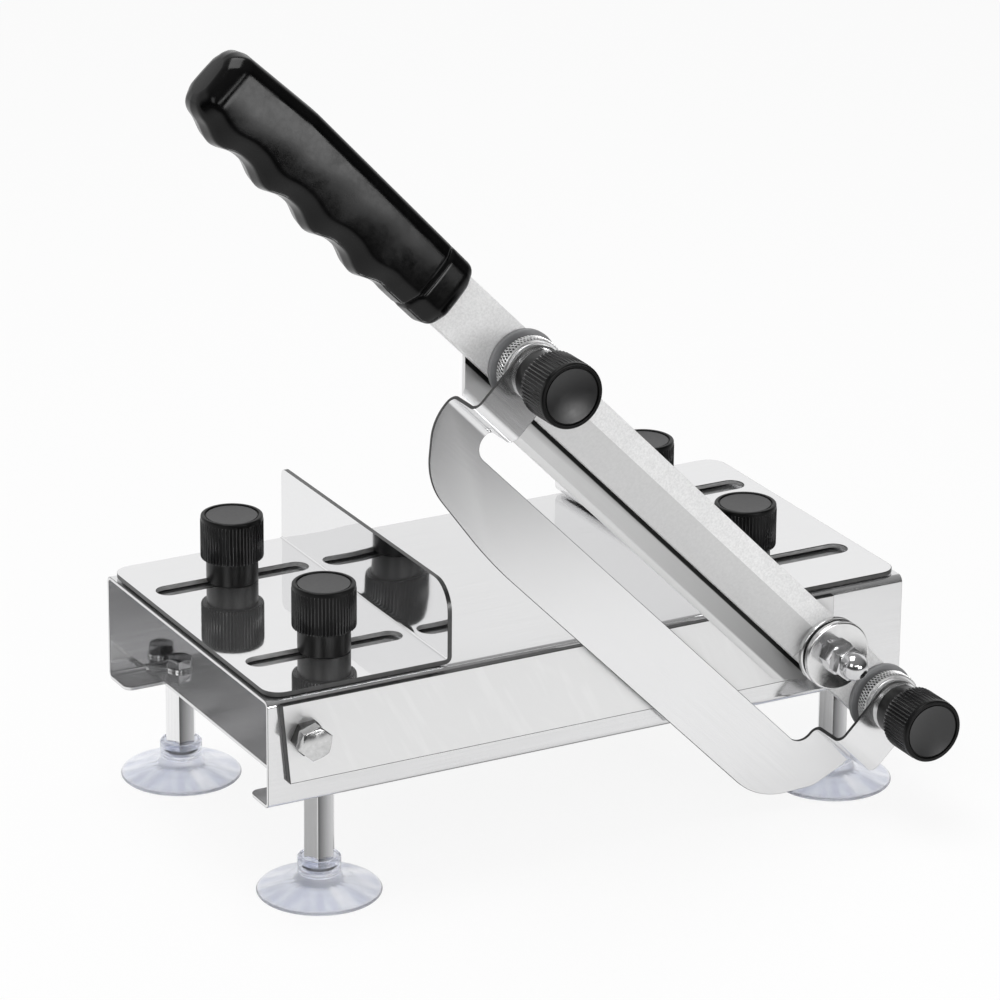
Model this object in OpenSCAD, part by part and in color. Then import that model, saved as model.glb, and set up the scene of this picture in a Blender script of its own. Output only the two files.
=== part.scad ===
// Hand slicer: a hinged arm with a straight blade shears food along the front of a sheet steel
// channel. Two guides slide along the bed, and a bowed plate on the arm sets how thick a slice is.
// Origin: centre of the bed's upper face. X along the bed, Y to the back, Z up.

/* [Base] */
// Length of the base channel
base_l = 300; // [280:1:360]
// Depth of the base channel, front to back
base_w = 155; // [140:1:180]
// Height of the front and back flanges
flange_h = 47; // [44:1:60]
// Thickness of the base sheet
base_t = 1.5; // [1:0.1:2]
// Outside radius of the bends in the base
base_bend_r = 3; // [2.5:0.1:4]
// Width of the inward lips along the lower edges
lip_w = 18; // [17:0.5:22]
// Corner radius of the lips
lip_corner_r = 4; // [1:0.5:6]
// Width of the two cross straps on the lips
strap_w = 45; // [36:1:60]
// Distance of each cross strap from the end of the base
strap_end = 16; // [12:1:20]
// Thickness of the cross straps
strap_t = 1.5; // [1:0.1:2]

/* [Feet] */
// Distance of the left feet's axes from the left end
foot_left = 28.2; // [24:0.2:36]
// Distance of the right feet's axes from the right end
foot_right = 25.8; // [24:0.2:36]
// Distance of each foot's axis from the front or back face
foot_side = 11; // [10:0.5:12]
// Width across the flats of the hexagonal posts
post_af = 12; // [11:0.5:14]
// Length of the posts
post_l = 33; // [30:1:60]
// Diameter of the suction cups
cup_d = 52; // [44:1:60]
// Height of the suction cups with their collars
cup_h = 15.6; // [14:0.2:20]
// Diameter of the collars of the suction cups
collar_d = 18; // [17.8:0.2:20]
// Depth to which each post sits in its collar
post_seat = 3; // [1:0.5:4]

/* [Wear plate] */
// Thickness of the wear plate
wear_t = 3; // [2:0.1:4]
// Height of the wear plate
wear_h = 35; // [33:0.5:38]
// Drop of its upper edge below the bed
wear_drop = 1.2; // [0.5:0.1:2]
// Distance of its upper left corner from the left end
wear_left = 5; // [3:0.5:8]
// Slant of its left edge over its height
wear_slant = 3.4; // [0:0.1:5]
// Distance of its right edge past the pivot
wear_past_pivot = 8.5; // [8:0.5:12]
// Distance of the stop bolt from the left end
stop_x = 16; // [14:0.5:18]
// Drop of the stop bolt below the bed
stop_z = 16.5; // [14:0.5:18]

/* [Guides] */
// Width of each guide, from its outer edge to its fence
guide_w = 82.5; // [80:0.5:90]
// Distance of the guides' ends from the front and back faces
guide_side = 1; // [0.5:0.5:4]
// Thickness of the guide sheet
guide_t = 2; // [1:0.1:2]
// Gap between the guides and the bed
guide_gap = 0.8; // [0.1:0.1:0.8]
// Height of the fences above the bed
fence_h = 34.9; // [25:0.1:45]
// Radius of the upper front corners of the fences
fence_r = 12; // [4:0.5:16]
// Radius of their upper back corners
fence_back_r = 3.5; // [1:0.5:16]
// Radius of the outer corners of the guides
guide_corner_r = 8; // [3:0.5:12]
// Outside radius of the bend between guide and fence
guide_bend_r = 3; // [2.5:0.1:4]
// Distance of each guide's outer edge from the end of the base
guide_inset = 1.3; // [0.5:0.1:4]
// Width of the adjusting slots
slot_w = 11; // [8.4:0.1:12]
// Length of the adjusting slots
slot_l = 70.4; // [50:0.2:71]
// Distance of each slot from the guide's outer edge
slot_edge = 6.1; // [5:0.1:8]
// Distance of the left clamp studs from the left end
stud_left = 42.4; // [35:0.2:50]
// Distance of the right clamp studs from the right end
stud_right = 58.2; // [50:0.2:66]
// Distance of the clamp studs from the front and back faces
stud_side = 34.25; // [28:0.25:40]
// Diameter of the clamp studs
clamp_d = 8; // [6:0.1:8]
// Height of the clamp studs above the guides
clamp_up = 20; // [16:1:22]

/* [Knobs] */
// Diameter of the knob caps over the ribs
cap_d = 26.8; // [25:0.2:30]
// Height of the knob caps
cap_h = 19; // [15:0.5:22]
// Diameter of the knob stems
stem_d = 22; // [18:0.5:23]
// Height of the knob stems
stem_h = 10.1; // [8:0.1:14]
// Number of ribs round a knob cap
rib_count = 54; // [24:1:72]
// Depth of the ribs
rib_depth = 0.7; // [0.3:0.1:1]
// Depth of the smooth edges of the caps below the roots of the ribs
rib_root = 0.15; // [0.1:0.05:0.4]
// Height of the tapered lower edge of the caps
cap_taper = 0.8; // [0.5:0.1:4]
// Radius of the rounding at the top of the caps
cap_round = 0.8; // [0.5:0.1:2]
// Width of the raised rim on top of the caps
cap_rim = 2.6; // [2:0.1:3.5]
// Depth of the dish inside the rim
cap_dish = 0.8; // [0.4:0.1:1.5]
// Outside diameter of the threaded inserts
insert_d = 12; // [11:0.5:14]
// Length of the threaded inserts
insert_l = 14; // [10:0.5:16]
// Diameter of the gauge knobs' caps over the ribs
gauge_cap_d = 27.8; // [25:0.2:30]
// Height of the stems of the gauge knobs
gauge_stem_h = 9; // [7:0.1:12]
// Height of the caps of the gauge knobs
gauge_cap_h = 17.5; // [15:0.5:20]
// Thickness left above the blind hole in each knob
crown_t = 5; // [3:0.1:6]

/* [Arm] */
// Angle of the raised arm above the bed
arm_rest = 45.4; // [30:0.2:70]
// Distance of the pivot from the right end of the base
pivot_end = 44.4; // [40:0.2:60]
// Drop of the pivot below the bed
pivot_drop = 20.7; // [18:0.1:22]
// Width of the arm bar
arm_w = 24; // [22:0.5:28]
// Thickness of the arm bar
arm_t = 8; // [6:0.5:10]
// Thickness that the bevel leaves at the arm's lower edge
bevel_edge_t = 3.5; // [2:0.5:5]
// Height of the flat that the bevel leaves on the arm's face
bevel_flat = 9.6; // [6:0.2:14]
// Distance from the pivot to the upper stud
upper_reach = 212.5; // [200:0.5:220]
// Distance from the pivot to the lower stud
lower_reach = 37; // [36:0.5:42]
// Diameter of the gauge studs
stud_d = 8; // [6:0.5:8]
// Diameter of the pivot bolt
pivot_d = 8; // [6:0.5:8]
// Width of the blade below the arm
blade_drop = 12; // [8:0.5:14]
// Thickness of the blade
blade_t = 2.5; // [1.5:0.1:3]
// Gap between the blade and the wear plate
shear_gap = 0.2; // [0.1:0.05:0.4]
// Height of the ground bevel at the cutting edge
grind_h = 3; // [2:0.5:5]
// Length of the blade past the upper stud
blade_past_stud = 17.5; // [15:0.5:18.5]
// Chamfer at the blade's upper far corner
blade_nick = 2; // [0.5:0.5:4]

/* [Handle] */
// Distance from the upper stud to the near end of the handle
handle_past_stud = 45; // [42:0.5:58]
// Length of the handle
handle_l = 147.5; // [120:0.5:160]
// Reach of the handle above the arm's middle line
handle_up = 15.4; // [13:0.1:18]
// Extra height of the handle's back where the palm rests
palm_swell = 2.4; // [0:0.1:4]
// Distance of the swell's highest point from the near end
palm_at = 103; // [80:1:110]
// Reach of the finger ridges below the arm's middle line
handle_down = 18.8; // [15:0.1:21]
// Depth of the finger hollows
finger_depth = 3.4; // [1:0.1:4]
// Spacing of the finger ridges
finger_pitch = 28.2; // [24:0.2:30]
// Distance from the near end at which the first finger ridge begins
finger_start = 29.6; // [26:0.2:36]
// Reach of the straight lower side next to the collar
collar_down = 15.8; // [11:0.1:17]
// Thickness of the handle, front to back
handle_t = 24; // [18:0.5:25]
// Radius of the handle's ends
handle_end_r = 8; // [4:0.5:10]
// Length of the collar at the near end
handle_collar = 18; // [10:0.5:22]
// Depth of the crease behind the collar
crease = 0.9; // [0.3:0.1:1.5]
// Width of the arm's tang inside the handle
tang_w = 16; // [12:0.5:18]

/* [Thickness gauge] */
// Thickness of the gauge sheet
gauge_t = 1.5; // [1:0.1:2]
// Slice thickness at rest, between the blade's plane and the gauge
slice = 3.8; // [3:0.1:6]
// Distance of the gauge's inner edge from the arm's middle line
gauge_inner = 38; // [36:0.5:42]
// Distance of the gauge's outer edge from the arm's middle line
gauge_outer = 67; // [60:0.5:68]
// Distance of the folded step from the arm's middle line
fold_reach = 27.5; // [26:0.5:30]
// Outside radius of the folds
fold_r = 4.5; // [3:0.5:5.5]
// Width of the gauge's tabs
tab_w = 24; // [22:0.5:26]
// Radius of the two inner corners of the gauge
notch_r = 7; // [3:0.5:7]
// Distance from the arm's middle line at which the gauge's outer corners begin
bow_shoulder = 39.3; // [37:0.1:42]
// Length over which the gauge's upper end curves in to its tab
bow_toe = 65.7; // [50:0.1:80]
// Length and depth of the corner in that curve
bow_corner = [17.2, 7]; // [5:0.1:20]
// Radii of the three curves from the upper tab to the straight edge
bow_radii = [22.8, 30.8, 220]; // [10:0.1:300]
// Distance from the lower tab's side at which the gauge's straight edge ends
bow_heel = 24; // [20:0.5:30]
// Radii of the two curves from the straight edge to the lower tab
heel_radii = [32, 14]; // [5:0.5:40]
// Diameter of the pads behind the gauge nuts
pad_d = 28.5; // [22:0.5:29]
// Thickness of the pads
pad_t = 2; // [1:0.1:3]
// Room between a pad and its nut, for a thinner slice
nut_room = 2.5; // [1.5:0.1:3]
// Diameter of the knurled nuts
nut_d = 25; // [22:0.5:28]
// Height of the knurled part of the nuts
nut_h = 4.6; // [3:0.1:6]
// Height of the nuts' plain shoulder
shoulder_h = 1.9; // [1:0.1:3]
// Number of ridges round a knurled nut
knurl_count = 64; // [40:1:90]
// Thickness of the gauge washers
gauge_washer_t = 1.5; // [0.8:0.1:2]
// Length of the gauge studs inside their knobs
stud_grip = 17.5; // [15:0.5:17.5]

/* [Fasteners] */
// Outside diameter of the large pivot washers
pivot_washer_d = 30.2; // [26:0.2:32]
// Thickness of the large pivot washers
pivot_washer_t = 2.6; // [1.5:0.1:3]
// Thickness of the spring washer between them
spring_t = 2.2; // [2:0.1:4]
// Width across the flats of the pivot and stop hexagons
hex_af = 13; // [12:0.5:14]
// Height of the pivot and stop bolt heads
head_h = 5.3; // [4:0.1:7]
// Height of the thin lock nuts
lock_nut_h = 4.2; // [3:0.1:6]
// Height of the hexagon on the dome nut
dome_hex_h = 6.5; // [5:0.1:8]
// Height of the dome above its hexagon
dome_h = 8; // [6:0.1:9]
// Width across the flats of the foot and clamp bolt heads
small_af = 10; // [9:0.5:11]
// Height of the foot and clamp bolt heads
small_head_h = 4; // [3:0.1:5]
// Diameter of the foot bolts
foot_bolt_d = 6; // [5:0.5:6]

/* [Clearances] */
// Radial clearance of a running fit
run_gap = 0.05; // [0.02:0.01:0.1]
// Radial clearance of a bolt in its hole
bolt_gap = 0.15; // [0.1:0.05:0.3]
// Gap between a released knob and its guide
release_gap = 0.1; // [0.05:0.05:0.3]

/* [Hidden] */
$fn = 64;
// Small overlap that keeps a cut clear of coplanar faces
eps = 0.01;

satin = "#c9cacb";
bright = "#dfe1e3";
dark_plastic = "#1b1b1c";
clear_vinyl = "#c3c8e4";

// Outside corners of the base
front_y = -base_w / 2;
end_x = base_l / 2;
floor_z = post_seat - flange_h - post_l - cup_h;
foot_x = [foot_left - end_x, end_x - foot_right];
foot_y = base_w / 2 - foot_side;
strap_z = base_t - flange_h;
strap_x = end_x - strap_end - strap_w / 2;
strap_l = base_w - 2 * base_bend_r - 2 * bolt_gap;
washer_t = 1.2;
foot_washer_d = small_af * 1.2;
foot_bolt_l = 10;
cup_screw_l = 9;
cup_head_d = 10;
cup_head_h = 2.2;

// Guides and their studs
guide_top = guide_gap + guide_t;
stud_x = [stud_left - end_x, end_x - stud_right];
stud_y = base_w / 2 - stud_side;
guide_l = base_w - 2 * guide_side;
slot_mid = guide_inset + slot_edge + slot_l / 2 - end_x;
knob_z = guide_top + release_gap;

// Places along the pivot and the studs, measured outwards from the front flange
pivot_x = end_x - pivot_end;
pivot_z = -pivot_drop;
blade_y = wear_t + shear_gap;
arm_y = blade_y + blade_t;
arm_face = arm_y + arm_t;
pad_face = arm_face + pad_t;
nut_y = pad_face + nut_room;
nut_face = nut_y + nut_h + shoulder_h;
flange_y = nut_face + gauge_washer_t;
flange_face = flange_y + gauge_t;
knob_y = flange_face + gauge_washer_t;
gauge_y = wear_t + shear_gap + slice;
spring_y = arm_face + pivot_washer_t;
outer_washer_y = spring_y + spring_t;
pivot_nut_y = outer_washer_y + pivot_washer_t;
dome_y = pivot_nut_y + lock_nut_h;
bush_r = pivot_d / 2 + 2;
arm_end_r = arm_w / 2;
blade_low = -arm_w / 2 - blade_drop;
blade_end = upper_reach + blade_past_stud;
handle_start = upper_reach + handle_past_stud;
blade_heel = 12;
stud_end = knob_y + stud_grip;
tang_end = handle_start + handle_l - 14;
handle_mid = arm_y + arm_t / 2 + 1.8;

function unit(v) = v / norm(v);
// Arc of radius r that rounds the corner b between a and c
function corner_arc(a, b, c, r, n) =
    let (u = unit(a - b), v = unit(c - b), half = acos(u * v) / 2)
    let (o = b + unit(u + v) * r / sin(half), p = b + u * r / tan(half), q = b + v * r / tan(half))
    let (start = atan2(p.y - o.y, p.x - o.x), stop = atan2(q.y - o.y, q.x - o.x))
    let (sweep = (stop - start + 540) % 360 - 180)
    [for (i = [0 : n]) o + r * [cos(start + sweep * i / n), sin(start + sweep * i / n)]];
// Outline whose corners [x, y, radius] are rounded
function rounded(pts, n = 8) =
    let (m = len(pts))
    [for (i = [0 : m - 1])
        let (a = pts[(i + m - 1) % m], b = pts[i], c = pts[(i + 1) % m])
        each b[2] == 0 ? [[b.x, b.y]]
            : corner_arc([a.x, a.y], [b.x, b.y], [c.x, c.y], b[2], n)];
// Outline with n sharp ridges between two radii
function ridged(r, depth, n) =
    [for (i = [0 : 2 * n - 1]) (r - (i % 2) * depth) * [cos(180 * i / n), sin(180 * i / n)]];

module hexagon(af, h) {
    cylinder(d = af / cos(30), h = h, $fn = 6);
}

// A bolt's head on its rounded-off upper corners
module hex_head(af, h) {
    intersection() {
        hexagon(af, h);
        union() {
            cylinder(d = af / cos(30) + 1, h = h - af / 16);
            translate([0, 0, h - af / 16])
                cylinder(d1 = af / cos(30), d2 = af * 0.93, h = af / 16);
        }
    }
}

module ring(outer_d, inner_d, h) {
    difference() {
        cylinder(d = outer_d, h = h);
        translate([0, 0, -1])
            cylinder(d = inner_d, h = h + 2);
    }
}

module rounded_square(w, h, r) {
    square([w - 2 * r, h], center = true);
    square([w, h - 2 * r], center = true);
    for (x = [-1, 1], y = [-1, 1])
        translate([x * (w / 2 - r), y * (h / 2 - r)])
            circle(r);
}

// Turns +Z outwards at a point of the front flange's outer face
module outwards(x, z, y = 0) {
    translate([x, front_y - y, z])
        rotate([90, 0, 0])
            children();
}

// The arm's frame: X from the pivot to the handle, Y outwards, Z away from the cutting edge
module on_arm() {
    translate([pivot_x, front_y, pivot_z])
        rotate([0, arm_rest, 0])
            rotate([0, 0, 180])
                children();
}

// Extrudes an outline of the arm's X and Z over its Y
module plate(y, t) {
    translate([0, y + t, 0])
        rotate([90, 0, 0])
            linear_extrude(t)
                children();
}

// Turns +Z outwards at the distance x along the arm
module on_stud(x, y) {
    translate([x, y, 0])
        rotate([-90, 0, 0])
            children();
}

module at_feet() {
    for (x = foot_x, y = [-1, 1])
        translate([x, y * foot_y, 0])
            children();
}

module at_clamps() {
    for (x = stud_x, y = [-1, 1])
        translate([x, y * stud_y, 0])
            children();
}

module base_profile() {
    difference() {
        translate([0, -flange_h / 2])
            rounded_square(base_w, flange_h, base_bend_r);
        translate([0, -flange_h / 2])
            rounded_square(base_w - 2 * base_t, flange_h - 2 * base_t, base_bend_r - base_t);
        translate([0, -flange_h])
            square([base_w - 2 * lip_w, 4 * base_bend_r], center = true);
    }
}

module base_channel() {
    corner_y = base_w / 2 - lip_w;
    color(satin)
        difference() {
            translate([-end_x, 0, 0])
                rotate([90, 0, 90])
                    linear_extrude(base_l)
                        base_profile();
            for (x = [-1, 1], y = [-1, 1])
                translate([x * end_x, y * corner_y, -flange_h - 1])
                    scale([x, y, 1])
                        linear_extrude(base_t + 2)
                            difference() {
                                translate([-lip_corner_r, -1])
                                    square([lip_corner_r + 1, lip_corner_r + 1]);
                                translate([-lip_corner_r, lip_corner_r])
                                    circle(lip_corner_r);
                            }
            at_feet()
                translate([0, 0, -flange_h - 1])
                    cylinder(d = foot_bolt_d + 2 * bolt_gap, h = base_t + 2);
            at_clamps()
                translate([0, 0, -base_t - 1])
                    cylinder(d = clamp_d + 2 * bolt_gap, h = base_t + 2);
            outwards(pivot_x, pivot_z, -base_t - 1)
                cylinder(d = pivot_d + 2 * bolt_gap, h = base_t + 2);
            outwards(stop_x - end_x, -stop_z, -base_t - 1)
                cylinder(d = pivot_d + 2 * bolt_gap, h = base_t + 2);
        }
}

module cross_straps() {
    color(satin)
        difference() {
            for (x = [-1, 1])
                translate([x * strap_x - strap_w / 2, -strap_l / 2, strap_z])
                    cube([strap_w, strap_l, strap_t]);
            at_feet()
                translate([0, 0, strap_z - 1])
                    cylinder(d = foot_bolt_d + 2 * bolt_gap, h = strap_t + 2);
        }
}

module foot_washers() {
    color(bright)
        at_feet()
            translate([0, 0, strap_z + strap_t])
                ring(foot_washer_d, foot_bolt_d + 2 * bolt_gap, washer_t);
}

module foot_bolts() {
    head_z = strap_z + strap_t + washer_t;
    color(bright)
        at_feet() {
            translate([0, 0, head_z])
                hex_head(small_af, small_head_h);
            translate([0, 0, -flange_h - foot_bolt_l])
                cylinder(d = foot_bolt_d, h = head_z + flange_h + foot_bolt_l + eps);
        }
}

module foot_posts() {
    color(satin)
        at_feet()
            translate([0, 0, -flange_h - post_l])
                difference() {
                    hexagon(post_af, post_l);
                    translate([0, 0, post_l - foot_bolt_l - 2])
                        cylinder(d = foot_bolt_d + 2 * run_gap, h = foot_bolt_l + 3);
                    translate([0, 0, -1])
                        cylinder(d = foot_bolt_d + 2 * run_gap, h = cup_screw_l + 2);
                }
}

module suction_cups() {
    seat_z = cup_h - post_seat;
    head_z = seat_z - 2 - cup_head_h;
    rim_r = cup_d / 2;
    collar_r = collar_d / 2;
    groove = 0.7;
    outer = [[rim_r, 0], [rim_r, 0.9], [rim_r - 1.4, 1.5], [collar_r + 5, cup_h * 0.32],
        [collar_r + 0.6, cup_h * 0.42]];
    ring_z = [cup_h * 0.52, cup_h * 0.68];
    rings = [for (z = ring_z) each [[collar_r, z - groove], [collar_r - groove, z],
        [collar_r, z + groove]]];
    color(clear_vinyl, 0.6)
        at_feet()
            translate([0, 0, floor_z])
                difference() {
                    rotate_extrude()
                        polygon(concat([[0, 3.2], [7, 3], [collar_r + 6, 1.8], [rim_r - 1.2, 0]],
                            outer, rings,
                            [[collar_r, cup_h - 0.8], [collar_r - 0.5, cup_h], [0, cup_h]]));
                    translate([0, 0, seat_z])
                        cylinder(d = post_af / cos(30) + 2 * bolt_gap, h = post_seat + 1);
                    translate([0, 0, head_z])
                        cylinder(d = cup_head_d + 2 * run_gap, h = cup_head_h + run_gap);
                    translate([0, 0, head_z])
                        cylinder(d = foot_bolt_d + 2 * run_gap, h = cup_h);
                }
}

module cup_screws() {
    seat_z = cup_h - post_seat;
    color(bright)
        at_feet()
            translate([0, 0, floor_z + seat_z - 2 - cup_head_h]) {
                cylinder(d = cup_head_d, h = cup_head_h);
                cylinder(d = foot_bolt_d, h = cup_head_h + 2 + cup_screw_l);
            }
}

module wear_plate() {
    left = wear_left - end_x;
    right = pivot_x + wear_past_pivot;
    color(satin)
        difference() {
            outwards(0, -wear_drop)
                linear_extrude(wear_t)
                    polygon([[left, 0], [left + wear_slant, -wear_h], [right, -wear_h],
                        [right, 0]]);
            outwards(pivot_x, pivot_z, -1)
                cylinder(d = pivot_d + 2 * bolt_gap, h = wear_t + 2);
            outwards(stop_x - end_x, -stop_z, -1)
                cylinder(d = pivot_d + 2 * bolt_gap, h = wear_t + 2);
        }
}

module stop_bolt() {
    head_y = wear_t + lock_nut_h;
    shank_y = base_t + lock_nut_h + 2;
    color(bright) {
        outwards(stop_x - end_x, -stop_z, head_y)
            rotate([0, 0, 18])
                hex_head(hex_af, head_h);
        outwards(stop_x - end_x, -stop_z, -shank_y)
            cylinder(d = pivot_d, h = shank_y + head_y + eps);
    }
}

// Thin hexagon nut with its outer corners turned off
module thin_nut(af, h, bore) {
    difference() {
        hex_head(af, h);
        translate([0, 0, -1])
            cylinder(d = bore, h = h + 2);
    }
}

module stop_lock_nut() {
    color(bright)
        outwards(stop_x - end_x, -stop_z, wear_t)
            rotate([0, 0, 4])
                thin_nut(hex_af, lock_nut_h, pivot_d + 2 * run_gap);
}

module stop_nut() {
    color(bright)
        outwards(stop_x - end_x, -stop_z, -base_t - lock_nut_h)
            thin_nut(hex_af, lock_nut_h, pivot_d + 2 * run_gap);
}

// Bolts from below the bed, with a head under it and a plain shank through the slots
module clamp_studs() {
    color(bright)
        at_clamps() {
            translate([0, 0, -base_t])
                rotate([180, 0, 0])
                    hex_head(hex_af, head_h);
            translate([0, 0, -base_t - eps])
                cylinder(d = clamp_d, h = base_t + guide_top + clamp_up);
        }
}

module pivot_bolt() {
    back = base_t + washer_t;
    color(bright) {
        outwards(pivot_x, pivot_z, -back)
            rotate([180, 0, 0])
                hex_head(hex_af, head_h);
        outwards(pivot_x, pivot_z, -back - eps)
            cylinder(d = pivot_d, h = back + dome_y + dome_hex_h);
    }
}

module pivot_back_washer() {
    color(bright)
        outwards(pivot_x, pivot_z, -base_t - washer_t)
            ring(hex_af * 1.3, pivot_d + 2 * bolt_gap, washer_t);
}

module pivot_washers() {
    chamfer = 0.5;
    r = pivot_washer_d / 2;
    bore_r = pivot_d / 2 + bolt_gap;
    color(bright)
        for (y = [arm_face, outer_washer_y])
            outwards(pivot_x, pivot_z, y)
                rotate_extrude()
                    polygon([[bore_r, 0], [r, 0], [r, pivot_washer_t - chamfer],
                        [r - chamfer, pivot_washer_t], [bore_r, pivot_washer_t]]);
}

module spring_washer() {
    color(satin)
        outwards(pivot_x, pivot_z, spring_y)
            ring(hex_af * 1.45, pivot_d + 2 * bolt_gap, spring_t);
}

module pivot_nut() {
    color(bright)
        outwards(pivot_x, pivot_z, pivot_nut_y)
            thin_nut(hex_af, lock_nut_h, pivot_d + 2 * run_gap);
}

module dome_nut() {
    r = hex_af / 2 - 0.4;
    neck = dome_h - r;
    color(bright)
        outwards(pivot_x, pivot_z, dome_y)
            difference() {
                union() {
                    rotate([0, 0, 20])
                        hex_head(hex_af, dome_hex_h);
                    rotate_extrude()
                        intersection() {
                            union() {
                                translate([0, dome_hex_h + neck])
                                    circle(r);
                                square([r, dome_hex_h + neck]);
                            }
                            square([2 * r, 2 * (dome_hex_h + dome_h)]);
                        }
                }
                translate([0, 0, -1])
                    cylinder(d = pivot_d + 2 * run_gap, h = dome_hex_h + 2);
            }
}

// Left guide; its fence stands at the inner edge and the outer edge lies near the base's end
module guide() {
    outer = guide_inset - end_x;
    inner = outer + guide_w;
    y0 = -guide_l / 2;
    difference() {
        union() {
            translate([0, 0, guide_gap])
                linear_extrude(guide_t)
                    polygon(rounded([[outer, y0, guide_corner_r], [inner - guide_bend_r, y0, 0],
                        [inner - guide_bend_r, -y0, 0], [outer, -y0, guide_corner_r]]));
            translate([inner - guide_bend_r, -y0, guide_gap + guide_bend_r])
                rotate([90, 0, 0])
                    linear_extrude(guide_l)
                        intersection() {
                            difference() {
                                circle(guide_bend_r);
                                circle(guide_bend_r - guide_t);
                            }
                            translate([0, -guide_bend_r])
                                square(guide_bend_r);
                        }
            translate([inner - guide_t, 0, 0])
                rotate([90, 0, 90])
                    linear_extrude(guide_t)
                        polygon(rounded([[y0, guide_gap + guide_bend_r, 0], [-y0,
                            guide_gap + guide_bend_r, 0], [-y0, fence_h, fence_back_r],
                            [y0, fence_h, fence_r]]));
        }
        for (y = [-stud_y, stud_y])
            translate([slot_mid, y, guide_gap - 1])
                linear_extrude(guide_t + 2) {
                    square([slot_l - slot_w, slot_w], center = true);
                    for (x = [-1, 1])
                        translate([x * (slot_l - slot_w) / 2, 0])
                            circle(d = slot_w);
                }
    }
}

module left_guide() {
    color(bright)
        guide();
}

module right_guide() {
    color(bright)
        mirror([1, 0, 0])
            guide();
}

// Ribbed knob on a plain stem, with a bore for its insert and a blind hole for the stud
module knob(bore, cap_d, stem_h, cap_h) {
    top = stem_h + cap_h;
    r = cap_d / 2;
    core_r = r - rib_depth - rib_root;
    dish_r = r - cap_rim;
    difference() {
        union() {
            translate([0, 0, stem_h + cap_taper])
                linear_extrude(cap_h - cap_taper - cap_round)
                    polygon(ridged(r, rib_depth, rib_count));
            rotate_extrude()
                polygon([[0, 0], [stem_d / 2, 0], [stem_d / 2, stem_h],
                    [core_r - cap_taper / 3, stem_h], [core_r, stem_h + cap_taper],
                    [core_r, top - cap_round], [core_r - cap_round / 3, top - cap_round / 3],
                    [core_r - cap_round, top], [0, top]]);
        }
        translate([0, 0, top - cap_dish])
            cylinder(r = dish_r - cap_round / 2, h = cap_dish + 1);
        translate([0, 0, -1])
            cylinder(d = insert_d, h = insert_l + 1);
        translate([0, 0, insert_l - 1])
            cylinder(d = bore + 1, h = top - crown_t - insert_l + 1);
    }
}

module insert(bore) {
    ring(insert_d - 2 * run_gap, bore + 2 * run_gap, insert_l);
}

module clamp_knob(i, side) {
    translate([stud_x[i], side * stud_y, knob_z])
        color(dark_plastic)
            knob(clamp_d, cap_d, stem_h, cap_h);
}

module clamp_insert(i, side) {
    translate([stud_x[i], side * stud_y, knob_z])
        color("goldenrod")
            insert(clamp_d);
}

module arm_bar() {
    low = -arm_w / 2;
    flat_z = arm_w / 2 - bevel_flat;
    bevel_start = 9;
    bevel_end = upper_reach - pad_d / 2 + 2;
    color(satin)
        on_arm()
            difference() {
                union() {
                    plate(arm_y, arm_t)
                        union() {
                            translate([-lower_reach, low])
                                square([lower_reach + handle_start, arm_w]);
                            translate([-lower_reach, 0])
                                circle(arm_end_r);
                        }
                    plate(arm_y, arm_t)
                        translate([handle_start - 1, -tang_w / 2])
                            square([tang_end - handle_start + 1, tang_w]);
                }
                translate([bevel_start, 0, 0])
                    rotate([90, 0, 90])
                        linear_extrude(bevel_end - bevel_start)
                            polygon([[arm_face, flat_z], [arm_y + bevel_edge_t, low],
                                [arm_y + bevel_edge_t, low - 1], [arm_face + 1, low - 1],
                                [arm_face + 1, flat_z]]);
                on_stud(0, arm_y - 1)
                    cylinder(r = bush_r + run_gap, h = arm_t + 2);
                for (x = [upper_reach, -lower_reach])
                    on_stud(x, arm_y - 1)
                        cylinder(d = stud_d + 2 * run_gap, h = arm_t + 2);
            }
}

// Bush that the arm and the blade turn with, round the pivot bolt
module pivot_bush() {
    color("goldenrod")
        on_arm()
            on_stud(0, blade_y + 0.1)
                ring(2 * bush_r, pivot_d + 2 * run_gap, blade_t + arm_t - 0.2);
}

module blade() {
    low = blade_low;
    high = arm_w / 2 - 0.5;
    clip = blade_drop;
    color(bright)
        on_arm()
            difference() {
                plate(blade_y, blade_t)
                    polygon([[-blade_heel, high], [-blade_heel, low + 13], [6, low],
                        [blade_end - clip, low], [blade_end, low + clip],
                        [blade_end, high - blade_nick], [blade_end - blade_nick, high]]);
                translate([-blade_heel - 1, 0, 0])
                    rotate([90, 0, 90])
                        linear_extrude(blade_end + blade_heel + 2)
                            polygon([[blade_y + 0.3, low], [blade_y + blade_t, low + grind_h],
                                [blade_y + blade_t + 1, low + grind_h],
                                [blade_y + blade_t + 1, low - 1], [blade_y + 0.3, low - 1]]);
                on_stud(0, blade_y - 1)
                    cylinder(r = bush_r + run_gap, h = blade_t + 2);
                on_stud(upper_reach, blade_y - 1)
                    cylinder(d = stud_d + 2 * run_gap, h = blade_t + 2);
            }
}

// Lower side of the handle, measured down from the arm's middle line
function grip_low(s) =
    let (phase = 360 * (s - finger_start) / finger_pitch)
    let (ridge = pow((1 - cos(phase)) / 2, 1.4))
    let (wave = handle_down - finger_depth * (1 - ridge))
    let (blend = min(1, max(0, (s - finger_start + 3) / 6)))
    collar_down + (wave - collar_down) * blend;
// Back of the handle, which swells towards the palm
function grip_top(s) =
    handle_up + palm_swell * min(s / palm_at, (handle_l - s) / (handle_l - palm_at));
// Inset of the outline near a rounded end of radius r, at the distance d from that end
function end_inset(d, r) = d >= r ? 0 : r - sqrt(r * r - (r - d) * (r - d));
// Groove behind the collar
function crease_at(s) = crease * max(0, 1 - abs(s - handle_collar) / 1.5);

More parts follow.
